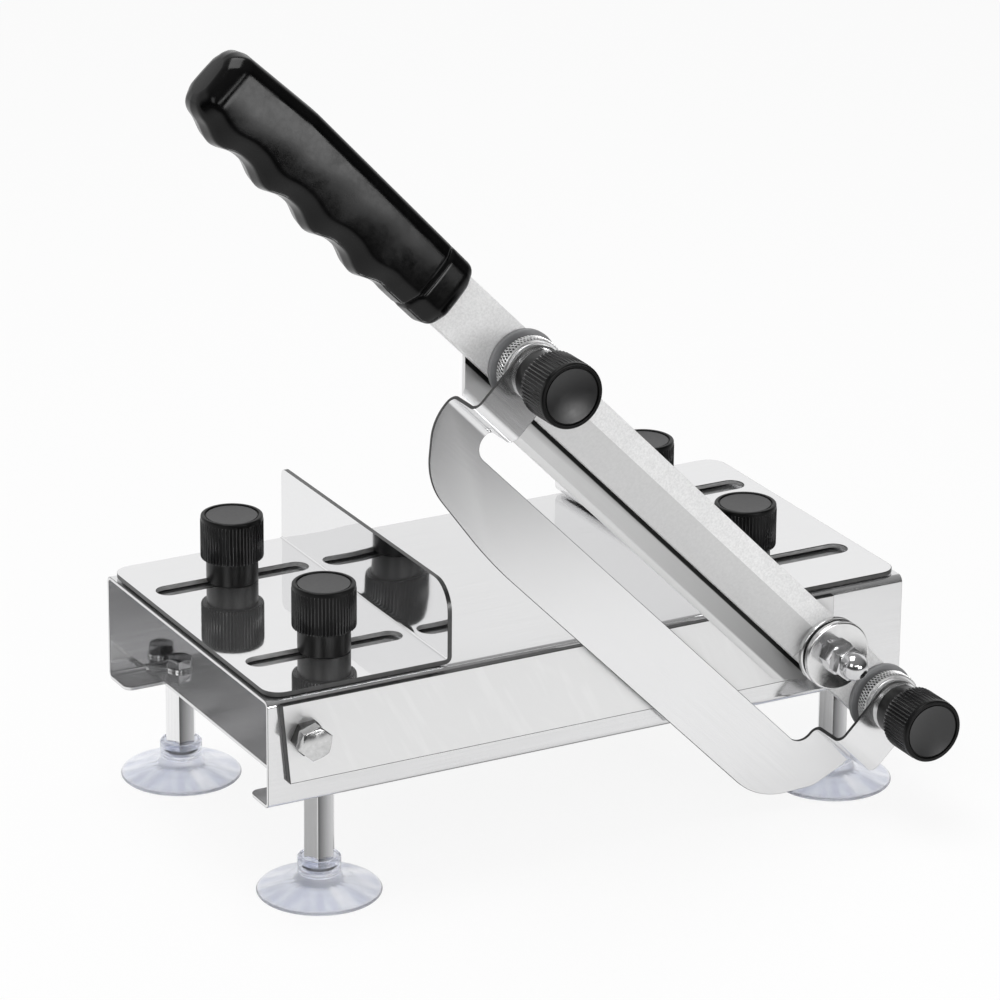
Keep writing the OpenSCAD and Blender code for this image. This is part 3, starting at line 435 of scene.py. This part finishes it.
def turned(profile, steps):
    """Profile of (radius, height), closed or from axis to axis, turned round Z.

    Each point keeps its direction from the axis and its share of the largest radius."""
    bm = bmesh.new()
    skin = bm.verts.layers.float_vector.new("skin")
    widest = max(r for r, _ in profile)
    rings = []
    for r, z in profile:
        if r < 1e-6:
            rings.append([bm.verts.new((0, 0, z))])
        else:
            angles = [2 * pi * i / steps for i in range(steps)]
            rings.append([bm.verts.new((r * cos(t), r * sin(t), z)) for t in angles])
    for k, lower in enumerate(rings):
        upper = rings[(k + 1) % len(rings)]
        if len(lower) == 1 and len(upper) == 1:
            continue
        for i in range(steps):
            j = (i + 1) % steps
            loop = [lower[i % len(lower)], lower[j % len(lower)],
                    upper[j % len(upper)], upper[i % len(upper)]]
            bm.faces.new(list(dict.fromkeys(loop)))
    for vert in bm.verts:
        reach = vert.co.xy.length
        vert[skin] = (*(vert.co.xy / max(reach, 1e-6)), reach / widest)
    bmesh.ops.recalc_face_normals(bm, faces=bm.faces)
    return bm


def tube_of_rings(rings):
    """Closed skin over rings of equal count, with a fan at each end."""
    bm = bmesh.new()
    made = [[bm.verts.new(p) for p in ring] for ring in rings]
    n = len(made[0])
    for a, b in zip(made, made[1:]):
        for i in range(n):
            bm.faces.new((a[i], a[(i + 1) % n], b[(i + 1) % n], b[i]))
    for ring in (made[0], made[-1]):
        middle = bm.verts.new(sum((v.co for v in ring), Vector()) / n)
        for i in range(n):
            bm.faces.new((ring[i], ring[(i + 1) % n], middle))
    bmesh.ops.recalc_face_normals(bm, faces=bm.faces)
    return bm


def to_object(name, bm, place=None, finish=None, sharp=30):
    mesh = bpy.data.meshes.new(name)
    bm.to_mesh(mesh)
    bm.free()
    if place is not None:
        mesh.transform(Matrix.Scale(MM, 4) @ place)
    mesh.shade_smooth()
    mesh.set_sharp_from_angle(angle=radians(sharp))
    if finish:
        mesh.materials.append(finish)
    obj = bpy.data.objects.new(name, mesh)
    bpy.context.scene.collection.objects.link(obj)
    return obj


def settled(obj):
    """Turns the object with its modifiers into a plain mesh."""
    bpy.context.view_layer.update()
    seen = obj.evaluated_get(bpy.context.evaluated_depsgraph_get())
    mesh = bpy.data.meshes.new_from_object(seen)
    obj.modifiers.clear()
    obj.data = mesh
    return obj


def joined(name, parts):
    """One object from several, with all their finishes."""
    bm = bmesh.new()
    finishes = []
    for part in parts:
        start = len(bm.faces)
        bm.from_mesh(part.data)
        bm.faces.ensure_lookup_table()
        for face in bm.faces[start:]:
            finish = part.data.materials[face.material_index]
            if finish not in finishes:
                finishes.append(finish)
            face.material_index = finishes.index(finish)
        bpy.data.objects.remove(part)
    mesh = bpy.data.meshes.new(name)
    bm.to_mesh(mesh)
    bm.free()
    for finish in finishes:
        mesh.materials.append(finish)
    obj = bpy.data.objects.new(name, mesh)
    bpy.context.scene.collection.objects.link(obj)
    return obj


def seat(obj, body, slot, *nodes):
    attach(obj, body)
    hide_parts(*nodes)
    return obj


EASED_FROM = 32  # edges that turn by more degrees than this are broken


def eased(node, body, slot, finish, width, others=(), edge=None):
    """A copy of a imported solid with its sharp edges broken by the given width.

    others holds pairs of a finish and a test of a face's middle, in millimetres, and normal;
    edge is the finish of the broken edges, where it isn't that of their neighbours."""
    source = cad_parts[node].data
    bm = bmesh.new()
    bm.from_mesh(source)
    bmesh.ops.remove_doubles(bm, verts=bm.verts, dist=1e-6)
    bmesh.ops.dissolve_limit(bm, angle_limit=radians(0.4), verts=bm.verts, edges=bm.edges)
    for face in bm.faces:
        face.material_index = 0
        for i, (_, test) in enumerate(others):
            if test(face.calc_center_median() / MM, face.normal):
                face.material_index = i + 1
    obj = to_object(node + "_eased", bm, finish=finish, sharp=EASED_FROM)
    for other, _ in others:
        obj.data.materials.append(other)
    bevel = obj.modifiers.new("broken edges", "BEVEL")
    bevel.width = width * MM
    bevel.segments = 2
    bevel.limit_method = "ANGLE"
    bevel.angle_limit = radians(EASED_FROM)
    bevel.use_clamp_overlap = True
    bevel.harden_normals = True
    if edge:
        obj.data.materials.append(edge)
        bevel.material = len(obj.data.materials) - 1
    settled(obj)
    return seat(obj, body, slot, node)


# ---------------------------------------------------------------- repeats

def new_tree(name, inputs):
    """A tree with the named inputs between its geometry and its finish, and its input node."""
    tree = bpy.data.node_groups.new(name, "GeometryNodeTree")
    for label, kind in (("Geometry", "Geometry"), *inputs, ("Finish", "Material")):
        tree.interface.new_socket(label, in_out="INPUT", socket_type="NodeSocket" + kind)
    tree.interface.new_socket("Geometry", in_out="OUTPUT", socket_type="NodeSocketGeometry")
    return tree, tree.nodes.new("NodeGroupInput")


def stand_on(tree, given, points, facing=None):
    """Ends a tree in copies of its geometry on the points, made real and in its finish."""
    stand = tree.nodes.new("GeometryNodeInstanceOnPoints")
    realize = tree.nodes.new("GeometryNodeRealizeInstances")
    dress = tree.nodes.new("GeometryNodeSetMaterial")
    out = tree.nodes.new("NodeGroupOutput")
    tree.links.new(points, stand.inputs["Points"])
    tree.links.new(given.outputs["Geometry"], stand.inputs["Instance"])
    if facing:
        tree.links.new(facing, stand.inputs["Rotation"])
    tree.links.new(stand.outputs["Instances"], realize.inputs["Geometry"])
    tree.links.new(realize.outputs["Geometry"], dress.inputs["Geometry"])
    tree.links.new(given.outputs["Finish"], dress.inputs["Material"])
    tree.links.new(dress.outputs["Geometry"], out.inputs["Geometry"])


def ring_tree():
    """Stands copies of a rib round a circle, each facing outwards."""
    tree, given = new_tree("ribs round a rim", (("Rib count", "Int"), ("Rim radius", "Float")))
    circle = tree.nodes.new("GeometryNodeMeshCircle")
    tree.links.new(given.outputs["Rib count"], circle.inputs["Vertices"])
    tree.links.new(given.outputs["Rim radius"], circle.inputs["Radius"])
    index = tree.nodes.new("GeometryNodeInputIndex")
    share = combined(tree, index.outputs["Index"], given.outputs["Rib count"], "DIVIDE")
    turn = tree.nodes.new("ShaderNodeCombineXYZ")
    tree.links.new(combined(tree, share, 2 * pi, "MULTIPLY"), turn.inputs["Z"])
    facing = tree.nodes.new("FunctionNodeEulerToRotation")
    tree.links.new(turn.outputs["Vector"], facing.inputs["Euler"])
    stand_on(tree, given, circle.outputs["Mesh"], facing.outputs["Rotation"])
    return tree


def corners_tree():
    """Stands copies of a part on the four corners of a rectangle round a centre."""
    tree, given = new_tree("parts on four corners",
                           (("Length", "Float"), ("Depth", "Float"), ("Centre", "Vector")))
    grid = tree.nodes.new("GeometryNodeMeshGrid")
    grid.inputs["Vertices X"].default_value = 2
    grid.inputs["Vertices Y"].default_value = 2
    tree.links.new(given.outputs["Length"], grid.inputs["Size X"])
    tree.links.new(given.outputs["Depth"], grid.inputs["Size Y"])
    shift = tree.nodes.new("GeometryNodeTransform")
    tree.links.new(grid.outputs["Mesh"], shift.inputs["Geometry"])
    tree.links.new(given.outputs["Centre"], shift.inputs["Translation"])
    stand_on(tree, given, shift.outputs["Geometry"])
    return tree


RIBS_ROUND_RIM = ring_tree()
ON_FOUR_CORNERS = corners_tree()


def repeated(obj, tree, **sizes):
    """Runs a tree on the object with the named sizes and keeps the result as its mesh."""
    modifier = obj.modifiers.new("repeat", "NODES")
    modifier.node_group = tree
    for item in tree.interface.items_tree:
        key = item.name.replace(" ", "_").lower()
        if item.item_type == "SOCKET" and item.in_out == "INPUT" and key in sizes:
            modifier[item.identifier] = sizes[key]
    return settled(obj)


def ribs_round(name, one, count, rim_r, rise, place, finish, sharp):
    """Copies of one rib round a rim; rise is how high above the place the rim begins."""
    ribs = repeated(to_object(name, one, at(0, 0, 0)), RIBS_ROUND_RIM, rib_count=count,
                    rim_radius=rim_r * MM, finish=finish)
    ribs.data.transform(Matrix.Scale(MM, 4) @ place @ at(0, 0, rise) @ Matrix.Scale(1 / MM, 4))
    ribs.data.shade_smooth()
    ribs.data.set_sharp_from_angle(angle=radians(sharp))
    return ribs


def paint(obj, place, *others):
    """Gives faces another finish where a test of their middle, in the piece's own frame, holds."""
    back = (Matrix.Scale(MM, 4) @ place).inverted()
    for i, (finish, test) in enumerate(others):
        obj.data.materials.append(finish)
        for face in obj.data.polygons:
            if test(back @ face.center):
                face.material_index = i + 1


# ---------------------------------------------------------------- knobs

def rib(height, width, depth, lean=0.0, blunt=0.15):
    """One half-round rib that stands on XZ at the origin and faces +X; both ends fade out."""
    section = [(-0.35, -width / 2), (0.0, -width / 2), (depth * 0.72, -width * 0.3), (depth, 0.0),
               (depth * 0.72, width * 0.3), (0.0, width / 2), (-0.35, width / 2)]
    rings = []
    for z, grow in ((0.0, blunt), (0.25, 0.8), (0.6, 1.0), (height - 0.6, 1.0),
                    (height - 0.25, 0.75), (height, 0.1)):
        rings.append([(x * grow if x > 0 else x, y + lean * (z - height / 2), z)
                      for x, y in section])
    return tube_of_rings(rings)


def knob_core(cap_d, stem_h, cap_h, hollow):
    """Stem, cap below the ribs, rim, groove and a disc whose middle sinks by hollow."""
    root = cap_d / 2 - RIB_ROOM
    top = stem_h + cap_h
    disc = cap_d / 2 - RIM_W
    dish = [(disc * (1 - i / 8), top - 0.35 - hollow * (1 - (1 - i / 8) ** 2)) for i in range(9)]
    outline = [(BORE_R, 0.0), (STEM_R, 0.0, 0.3), (STEM_R, stem_h), (root - 0.3, stem_h),
               (root, stem_h + 0.5, 0.3), (root + 0.55, top - 1.6, 0.5), (root + 0.5, top, 0.7),
               (disc + 0.75, top, 0.3), (disc + 0.6, top - 0.85, 0.15),
               (disc + 0.12, top - 0.85, 0.1)]
    bore = [(0.0, BORE_L), (BORE_R, BORE_L)]
    return turned(rounded(outline + dish + bore, 5), 128), disc, top


def knob(name, place, sizes, face_finish, body):
    cap_d, stem_h, cap_h, _ = sizes
    core, disc, top = knob_core(*sizes)
    part = to_object(name + "_core", core, place, STEM_PLASTIC, 34)
    paint(part, place,
          (CAP_PLASTIC, lambda m: m.z > stem_h + 0.05 and m.xy.length > BORE_R + 0.5),
          (face_finish, lambda m: m.z > max(top - 4, BORE_L + 0.5) and m.xy.length < disc - 0.2))
    one = rib(cap_h - 1.7, RIB_W, RIB_DEPTH, blunt=0.7)
    # The ribs take the lighter plastic as painted highlight.
    ribs = ribs_round(name + "_rib", one, RIB_COUNT, cap_d / 2 - RIB_ROOM - 0.03, stem_h + 0.15,
                      place, RIB_PLASTIC_PAINTED_LIGHT, 50)
    return seat(joined(name, [part, ribs]), body, "black_plastic", body)


for side, x in zip(("left", "right"), STUD_X):
    for end, y in (("front", -STUD_Y), ("back", STUD_Y)):
        name = f"{side}_{end}_knob"
        knob(name + "_ribbed", at(x, y, KNOB_Z), CLAMP_KNOB, DISC_PLASTIC, name)
for name, x in (("upper_gauge_knob", UPPER_REACH), ("lower_gauge_knob", -LOWER_REACH)):
    knob(name + "_ribbed", on_stud(x, KNOB_Y), GAUGE_KNOB, DISH_PLASTIC, name)


# ---------------------------------------------------------------- knurled nuts

def knurled_nut(name, place, body):
    rim, shoulder, top = NUT_D / 2 - 0.5, NUT_D / 2 - SHOULDER_W, NUT_H + SHOULDER_H
    core = rounded([(GAUGE_STUD_R, 0.0), (rim - 0.35, 0.0, 0.3), (rim, 0.4), (rim, NUT_H - 0.4),
                    (rim - 0.35, NUT_H, 0.3), (shoulder, NUT_H), (shoulder, top, 0.4),
                    (GAUGE_STUD_R + 0.55, top), (GAUGE_STUD_R, top - 0.5)], 4)
    part = to_object(name + "_core", turned(core, 128), place, KNURL_STEEL, 34)
    # The core between the ridges is painted near-black as shade.
    paint(part, place,
          (KNURL_ROOT_PAINTED_SHADE, lambda m: m.xy.length > rim - 0.06 and 0.3 < m.z < NUT_H - 0.3))
    ridges = [ribs_round(name + "_ridge", rib(NUT_H - 0.7, KNURL_W, KNURL_DEPTH, lean),
                         KNURL_COUNT, rim - 0.01, 0.35, place, KNURL_STEEL, 40)
              for lean in (-KNURL_LEAN, KNURL_LEAN)]
    return seat(joined(name, [part, *ridges]), body, "polished_steel", body)


knurled_nut("upper_gauge_nut_knurled", on_stud(UPPER_REACH, NUT_Y), "upper_gauge_nut")
knurled_nut("lower_gauge_nut_knurled", on_stud(-LOWER_REACH, NUT_Y), "lower_gauge_nut")


# ---------------------------------------------------------------- rubber pads

def pad(x):
    ring = rounded([(GAUGE_STUD_R, 0.0), (PAD_D / 2, 0.0, 0.3), (PAD_D / 2, PAD_T, 0.5),
                    (GAUGE_STUD_R, PAD_T)], 4)
    return to_object("pad", turned(ring, 96), on_stud(x, ARM_Y + ARM_T), PAD_RUBBER, 34)


seat(joined("round_pads", [pad(UPPER_REACH), pad(-LOWER_REACH)]), "arm", "grey_rubber",
     "stud_pads")


# ---------------------------------------------------------------- grip

def grip_low(s):
    """Lower side of the grip, measured down from the arm's middle line."""
    ridge = ((1 - cos(2 * pi * (s - FINGER_START) / FINGER_PITCH)) / 2) ** 1.4
    wave = HANDLE_DOWN - FINGER_DEPTH * (1 - ridge)
    blend = min(1.0, max(0.0, (s - FINGER_START + 3) / 6))
    blend = blend * blend * (3 - 2 * blend)
    return COLLAR_DOWN + (wave - COLLAR_DOWN) * blend


def grip_top(s):
    return HANDLE_UP + PALM_SWELL * min(s / PALM_AT, (HANDLE_L - s) / (HANDLE_L - PALM_AT))


def end_inset(d, r):
    return 0.0 if d >= r else r - sqrt(max(0.0, r * r - (r - d) ** 2))


def grip_section(half_t, up, down, n):
    """Half of the section, from top to bottom: crowned top, crest, bowed front, round belly."""
    crest, bow = min(5.2, up * 0.4), half_t * 0.115
    corners = [(0.0, up), (half_t - bow - crest * 0.55, up - crest * 0.16, crest * 0.55),
               (half_t - bow, up - crest, 2.0)]
    for i in range(1, 8):
        t = i / 8
        corners.append((half_t - bow * (1 - t) ** 2, up - crest - (up + down * 0.45 - crest) * t))
    corners += [(half_t, -down * 0.52, 4.0), (half_t * 0.62, -down * 0.93, 3.0), (0.0, -down)]
    line = [Vector(p) for p in rounded(corners, 5)]
    reach = [0.0]
    for a, b in zip(line, line[1:]):
        reach.append(reach[-1] + (b - a).length)
    section = []
    for i in range(n + 1):
        want = reach[-1] * i / n
        k = max(j for j in range(len(line) - 1) if reach[j] <= want + 1e-9)
        step = reach[k + 1] - reach[k]
        section.append(line[k].lerp(line[k + 1], (want - reach[k]) / step if step else 0.0))
    return section


def grip_ring(s, n):
    inset = end_inset(min(s, HANDLE_L - s), HANDLE_END_R)
    groove = abs(s - COLLAR) / CREASE_HALF_W
    if groove < 1:
        inset += CREASE * (cos(pi * groove) + 1) / 2
    up, down, half_t = grip_top(s) - inset, grip_low(s) - inset, HANDLE_T / 2 - inset
    half = grip_section(half_t, up, down, n // 2)
    around = [(p.x, p.y) for p in half] + [(-p.x, p.y) for p in half[-2:0:-1]]
    return [(HANDLE_START + s, HANDLE_MID + y, z) for y, z in around]


def grip():
    """Rings at even steps, closer together in the rounded ends."""
    near = [HANDLE_END_R * (1 - cos(pi / 2 * i / 14)) for i in range(15)]
    near[0] = 0.05
    steps = int((HANDLE_L - 2 * HANDLE_END_R) / GRIP_STEP)
    middle = [HANDLE_END_R + i * GRIP_STEP for i in range(1, steps)]
    far = [HANDLE_L - s for s in near[::-1]]
    return tube_of_rings([grip_ring(s, GRIP_POINTS) for s in near + middle + far])


seat(to_object("ridged_grip", grip(), ON_ARM, GRIP_PLASTIC, 50), "arm", "black_plastic", "handle")


# ---------------------------------------------------------------- suction cups

def cup_profile():
    """Rim, slope, ridged collar, the post's seat, room for the screw and a hollow underside."""
    rim, collar = CUP_D / 2, COLLAR_D / 2
    skin = [(rim - 0.35, 0.0), (rim, 0.45, 0.3), (rim - 0.5, 1.15, 0.4)]
    slope = [(rim - 1.4 - (rim - collar - 6.4) * t, 1.5 + (CUP_H * 0.32 - 1.5) * t ** 1.15)
             for t in (0.0, 0.2, 0.4, 0.6, 0.8, 1.0)]
    neck = [(collar + 2.2, CUP_H * 0.345), (collar + 0.6, CUP_H * 0.42, 0.8)]
    for z in (CUP_H * 0.52, CUP_H * 0.68):
        neck += [(collar, z - 0.8, 0.2), (collar - 0.7, z, 0.35), (collar, z + 0.8, 0.2)]
    mouth = POST_AF / 2 / cos(pi / 6) + 0.15
    shelf = CUP_H - POST_SEAT
    neck += [(collar, CUP_H - 0.6, 0.3), (collar - 0.5, CUP_H, 0.3), (mouth, CUP_H, 0.3),
             (mouth, shelf), (CUP_SCREW_R, shelf), (CUP_SCREW_R, shelf - CUP_SCREW_LIP),
             (CUP_SCREW_HEAD_R, shelf - CUP_SCREW_LIP), (CUP_SCREW_HEAD_R, shelf - CUP_SCREW_L),
             (0.0, shelf - CUP_SCREW_L)]
    under = [(0.0, 3.2), (7.0, 3.0), (collar + 6, 1.8), (rim - 1.2, 0.0)]
    return rounded(skin + slope + neck, 4) + under


one_cup = to_object("suction_cup", turned(cup_profile(), 96), at(0, 0, 0), CUP_VINYL, 40)
cups = repeated(one_cup, ON_FOUR_CORNERS, length=(FOOT_X[1] - FOOT_X[0]) * MM,
                depth=2 * FOOT_Y * MM,
                centre=((FOOT_X[0] + FOOT_X[1]) / 2 * MM, 0.0, FLOOR_Z * MM), finish=CUP_VINYL)
seat(cups, "base", "clear_vinyl", "suction_cups")


# ---------------------------------------------------------------- spring washer

def spring_ring():
    """Split ring that rises a little from one end to the other."""
    rings = []
    steps = 72
    section = ((SPRING_BORE, 0.05), (SPRING_R, 0.05), (SPRING_R, SPRING_TOP),
               (SPRING_BORE, SPRING_TOP))
    for i in range(steps + 1):
        turn = radians(SPRING_GAP / 2 + (360 - SPRING_GAP) * i / steps)
        rise = SPRING_RISE * i / steps
        rings.append([(r * cos(turn), r * sin(turn), z + rise) for r, z in section])
    return tube_of_rings(rings)


seat(to_object("split_spring_washer", spring_ring(), outwards(PIVOT_X, PIVOT_Z, SPRING_Y)
               @ Matrix.Rotation(radians(SPRING_TURN), 4, "Z"), BOLT_STEEL, 30),
     "base", "satin_steel", "spring_washer")


# ---------------------------------------------------------------- sheets, bars and bolts

ALONG_ARM = Vector((-cos(radians(ARM_REST)), 0.0, sin(radians(ARM_REST))))
SLOT_HALF_W, SLOT_END_X, GUIDE_END_X = 5.9, 146, 147
FENCE_FROM_X, FENCE_TO_X, FENCE_FOOT_Z, FENCE_TOP_Z = 64, 70, 5, 33.5
GAUGE_BACK_OUT, GAUGE_TAB_OUT = 8.6, 26.1


def in_slot(middle, normal):
    in_row = abs(abs(middle.y) - STUD_Y) < SLOT_HALF_W
    return abs(normal.z) < 0.5 and in_row and abs(middle.x) < SLOT_END_X


def fence_face(middle, normal):
    in_fence = FENCE_TO_X > abs(middle.x) > FENCE_FROM_X
    return abs(normal.x) > 0.9 and middle.z > FENCE_FOOT_Z and in_fence


def guide_edge(middle, normal):
    """Cut faces of a guide: its ends, its round corners, the fence's top and the outer side."""
    outer = abs(normal.z) < 0.2 and abs(middle.x) > GUIDE_END_X
    return abs(normal.y) > 0.2 or middle.z > FENCE_TOP_Z or outer


def front_facet(middle, normal):
    return normal.y < -0.9


# Side facets of the foot bolts' heads that face the front, which take pale steel as painted light.
def facet_painted_light(middle, normal):
    return abs(normal.z) < 0.3 and normal.y < 0 and normal.x > -0.5


def plate_edge(middle, normal):
    return abs(normal.y) < 0.5


def gauge_edge(middle, normal):
    """Cut faces of the gauge, away from its plate's and its tabs' own faces."""
    out = -BASE_W / 2 - middle.y
    if abs(normal.dot(ALONG_ARM)) > 0.3:
        return True
    return abs(normal.y) < 0.1 and not GAUGE_BACK_OUT < out < GAUGE_TAB_OUT


def on_bevel(middle, normal):
    return normal.y < -0.2 and abs(normal.dot(ALONG_ARM)) < 0.1 and normal.y > -0.97


SATIN, POLISHED = "satin_steel", "polished_steel"
# Cut faces and broken edges of the sheets take near-black steel as painted shade.
eased("base_channel", "base", SATIN, BASE_SHEET, 0.25, edge=CUT_EDGE_PAINTED_SHADE)
eased("wear_plate", "base", SATIN, WEAR_SHEET, 0.35, others=[(CUT_EDGE_PAINTED_SHADE, plate_edge)],
      edge=CUT_EDGE_PAINTED_SHADE)
# The guides' cut faces and broken edges take near-black steel as painted shade.
for side in ("left_guide", "right_guide"):
    eased(side, side, POLISHED, GUIDE_MIRROR, 0.3, edge=GUIDE_EDGE_PAINTED_SHADE,
          others=[(FENCE_MIRROR, fence_face), (GUIDE_EDGE_PAINTED_SHADE, guide_edge), (SLOT_EDGE_PAINTED_SHADE, in_slot)])
# The arm's bevel takes the darker steel as painted shade.
eased("arm_bar", "arm", SATIN, ARM_SATIN, 0.35, others=[(BEVEL_SATIN_PAINTED_SHADE, on_bevel)])
eased("gauge_plate", "gauge", POLISHED, GAUGE_SHEET, 0.2, others=[(CUT_EDGE_PAINTED_SHADE, gauge_edge)],
      edge=CUT_EDGE_PAINTED_SHADE)
for node, finish, width in (("cross_straps", BASE_SHEET, 0.2), ("foot_washers", BOLT_STEEL, 0.15),
                            ("stop_bolt", BOLT_STEEL, 0.3), ("stop_lock_nut", DARK_NUT, 0.25),
                            ("stop_nut", BOLT_STEEL, 0.25), ("pivot_back_washer", BOLT_STEEL, 0.2),
                            ("pivot_washers", WASHER_STEEL, 0.35), ("pivot_nut", CHROME, 0.25),
                            ("dome_nut", CHROME, 0.25)):
    eased(node, "base", SATIN, finish, width)

# The posts' front facets take the darker steel with painted shade.
eased("foot_posts", "base", SATIN, POST_STEEL, 0.3, others=[(POST_FACET_PAINTED_SHADE, front_facet)])
# Foot bolt heads: painted shade, with painted light on the side facets that face the front.
eased("foot_bolts", "base", SATIN, BOLT_HEAD_PAINTED_SHADE, 0.2, others=[(POST_STEEL, facet_painted_light)])

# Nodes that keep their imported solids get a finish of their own
NODE_FINISH = {
    "cup_screws": BOLT_STEEL, "clamp_studs": BOLT_STEEL, "pivot_bolt": BOLT_STEEL,
    "pivot_bush": BRASS, "blade": BLADE_STEEL, "upper_stud": BOLT_STEEL,
    "lower_stud": BOLT_STEEL, "gauge_washers": BOLT_STEEL,
}
for node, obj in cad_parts.items():
    finish = BRASS if node.endswith("_insert") else NODE_FINISH.get(node)
    if finish:
        obj.data.materials.clear()
        obj.data.materials.append(finish)


# ---------------------------------------------------------------- floor, lights and camera

def mixed(tree, factor, first, second):
    """One shader mixed with another by a number or a value."""
    node = tree.nodes.new("ShaderNodeMixShader")
    if isinstance(factor, float):
        node.inputs["Fac"].default_value = factor
    else:
        tree.links.new(factor, node.inputs["Fac"])
    tree.links.new(first, node.inputs[1])
    tree.links.new(second, node.inputs[2])
    return node.outputs["Shader"]


def glow(tree, kind, strength):
    """White light of a given strength, a number or a value, from a surface or the world."""
    node = tree.nodes.new(kind)
    node.inputs["Color"].default_value = (1.0, 1.0, 1.0, 1.0)
    if isinstance(strength, float):
        node.inputs["Strength"].default_value = strength
    else:
        tree.links.new(strength, node.inputs["Strength"])
    return node.outputs[0]


def rays(tree):
    """Whether the camera sees a spot, also through the vinyl, and whether shiny metal does."""
    path = tree.nodes.new("ShaderNodeLightPath").outputs
    seen = combined(tree, path["Is Camera Ray"], path["Is Transmission Ray"], "MAXIMUM")
    return seen, path["Is Glossy Ray"]


def floor_finish():
    """Pale floor that keeps the shadow; metal sees it glow white near the slicer and darker
    beyond, with a painted shadow strip under the front flange.
    """
    finish = bpy.data.materials.new("pale studio floor")
    finish.use_nodes = True
    tree = finish.node_tree
    tree.nodes.clear()
    seen, shine = rays(tree)
    spot = along_axes(tree, coordinates(tree))
    # What metal sees of the floor: darker far in front and to the right, and a painted shadow
    # strip under the front flange.
    front = faded(tree, spot["Y"], -0.62, -0.28, 0.08, 1.0)
    right = faded(tree, spot["X"], 0.18, 0.70, 1.0, 0.2)
    haze = faded(tree, spot["Y"], -0.62, -0.28, 0.97, 0.6)
    painted_shadow_under_flange = combined(tree, faded(tree, spot["Y"], -0.084, -0.070, 1.0, 0.15),
                            faded(tree, spot["Y"], -0.045, -0.02, 0.0, 0.85))
    level = combined(tree, combined(tree, front, right, "MULTIPLY"), painted_shadow_under_flange, "MULTIPLY")
    pale = tree.nodes.new("ShaderNodeBsdfDiffuse")
    pale.inputs["Color"].default_value = (0.92, 0.92, 0.92, 1.0)
    lit = pale.outputs["BSDF"]
    to_metal = mixed(tree, haze, lit, glow(tree, "ShaderNodeEmission", level))
    to_camera = mixed(tree, 0.88, lit, glow(tree, "ShaderNodeEmission", 1.0))
    out = tree.nodes.new("ShaderNodeOutputMaterial")
    tree.links.new(mixed(tree, seen, mixed(tree, shine, lit, to_metal), to_camera),
                   out.inputs["Surface"])
    return finish


bm = bmesh.new()
bmesh.ops.create_grid(bm, x_segments=2, y_segments=2, size=6000)
studio_floor = to_object("studio_floor", bm, at(0, 0, FLOOR_Z - 0.02), floor_finish())


def studio_world():
    """White to the camera, a soft fill, and to metal a white backdrop before a dim room."""
    world = bpy.data.worlds.new("soft studio")
    bpy.context.scene.world = world
    world.use_nodes = True
    tree = world.node_tree
    tree.nodes.clear()
    seen, shine = rays(tree)
    way = along_axes(tree, coordinates(tree, "Generated"))
    backdrop = faded(tree, way["Y"], -0.12, 0.3)
    behind = faded(tree, way["Z"], 0.42, 0.72, 0.97, 0.34)
    ahead = faded(tree, way["Z"], 0.0, 0.9, 0.05, 0.26)
    room = combined(tree, combined(tree, 1.0, backdrop, "SUBTRACT"), ahead, "MULTIPLY")
    level = combined(tree, combined(tree, backdrop, behind, "MULTIPLY"), room)
    white, mirror, fill = (glow(tree, "ShaderNodeBackground", strength)
                           for strength in (1.0, level, 0.5))
    out = tree.nodes.new("ShaderNodeOutputWorld")
    tree.links.new(mixed(tree, seen, mixed(tree, shine, fill, mirror), white),
                   out.inputs["Surface"])


studio_world()


def softbox(name, place, target, width, height, watts):
    light = bpy.data.lights.new(name, "AREA")
    light.shape = "RECTANGLE"
    light.size, light.size_y = width, height
    light.energy = watts
    obj = bpy.data.objects.new(name, light)
    obj.location = place
    obj.rotation_euler = (Vector(target) - Vector(place)).to_track_quat("-Z", "Y").to_euler()
    obj.visible_camera = False
    bpy.context.scene.collection.objects.link(obj)


# Places, targets, widths and heights in metres, power in watts
softbox("overhead softbox", (-0.2, 0.15, 1.5), (0.0, 0.0, 0.0), 1.1, 0.8, 11.5)
softbox("front left softbox", (-1.5, -1.1, 1.0), (-0.03, -0.05, 0.05), 0.7, 0.8, 3.5)
softbox("low front softbox", (0.30, -0.95, 0.115), (-0.14, -0.1, 0.17), 0.42, 0.19, 1.9)
softbox("high front softbox", (-0.16, -1.42, 0.58), (-0.05, -0.05, 0.02), 0.8, 0.15, 2.0)

# The camera fitted to the photograph: lens in millimetres, place in metres, angles in radians
SENSOR, LENS = 36.0, 36.0 * 5.23174
LOOKED_AT, DISTANCE = Vector((-0.15007, -0.27037, 0.15272)), 1.87720
AZIMUTH, ELEVATION, ROLL = radians(28.55), radians(20.97), radians(0.52)


def studio_camera():
    """Camera in the photograph's place; it looks along -back with a slight roll."""
    camera = bpy.data.cameras.new("camera")
    camera.sensor_fit = "HORIZONTAL"
    camera.sensor_width, camera.lens, camera.clip_end = SENSOR, LENS, 100.0
    back = Vector((-sin(AZIMUTH) * cos(ELEVATION), -cos(AZIMUTH) * cos(ELEVATION), sin(ELEVATION)))
    level = Vector((cos(AZIMUTH), -sin(AZIMUTH), 0.0))
    upright = back.cross(level)
    right = cos(ROLL) * level + sin(ROLL) * upright
    up = cos(ROLL) * upright - sin(ROLL) * level
    eye = bpy.data.objects.new("camera", camera)
    eye.matrix_world = (Matrix.Translation(LOOKED_AT + back * DISTANCE)
                        @ Matrix((right, up, back)).transposed().to_4x4())
    bpy.context.scene.collection.objects.link(eye)
    bpy.context.scene.camera = eye


studio_camera()
bpy.context.scene.view_settings.view_transform = "Standard"
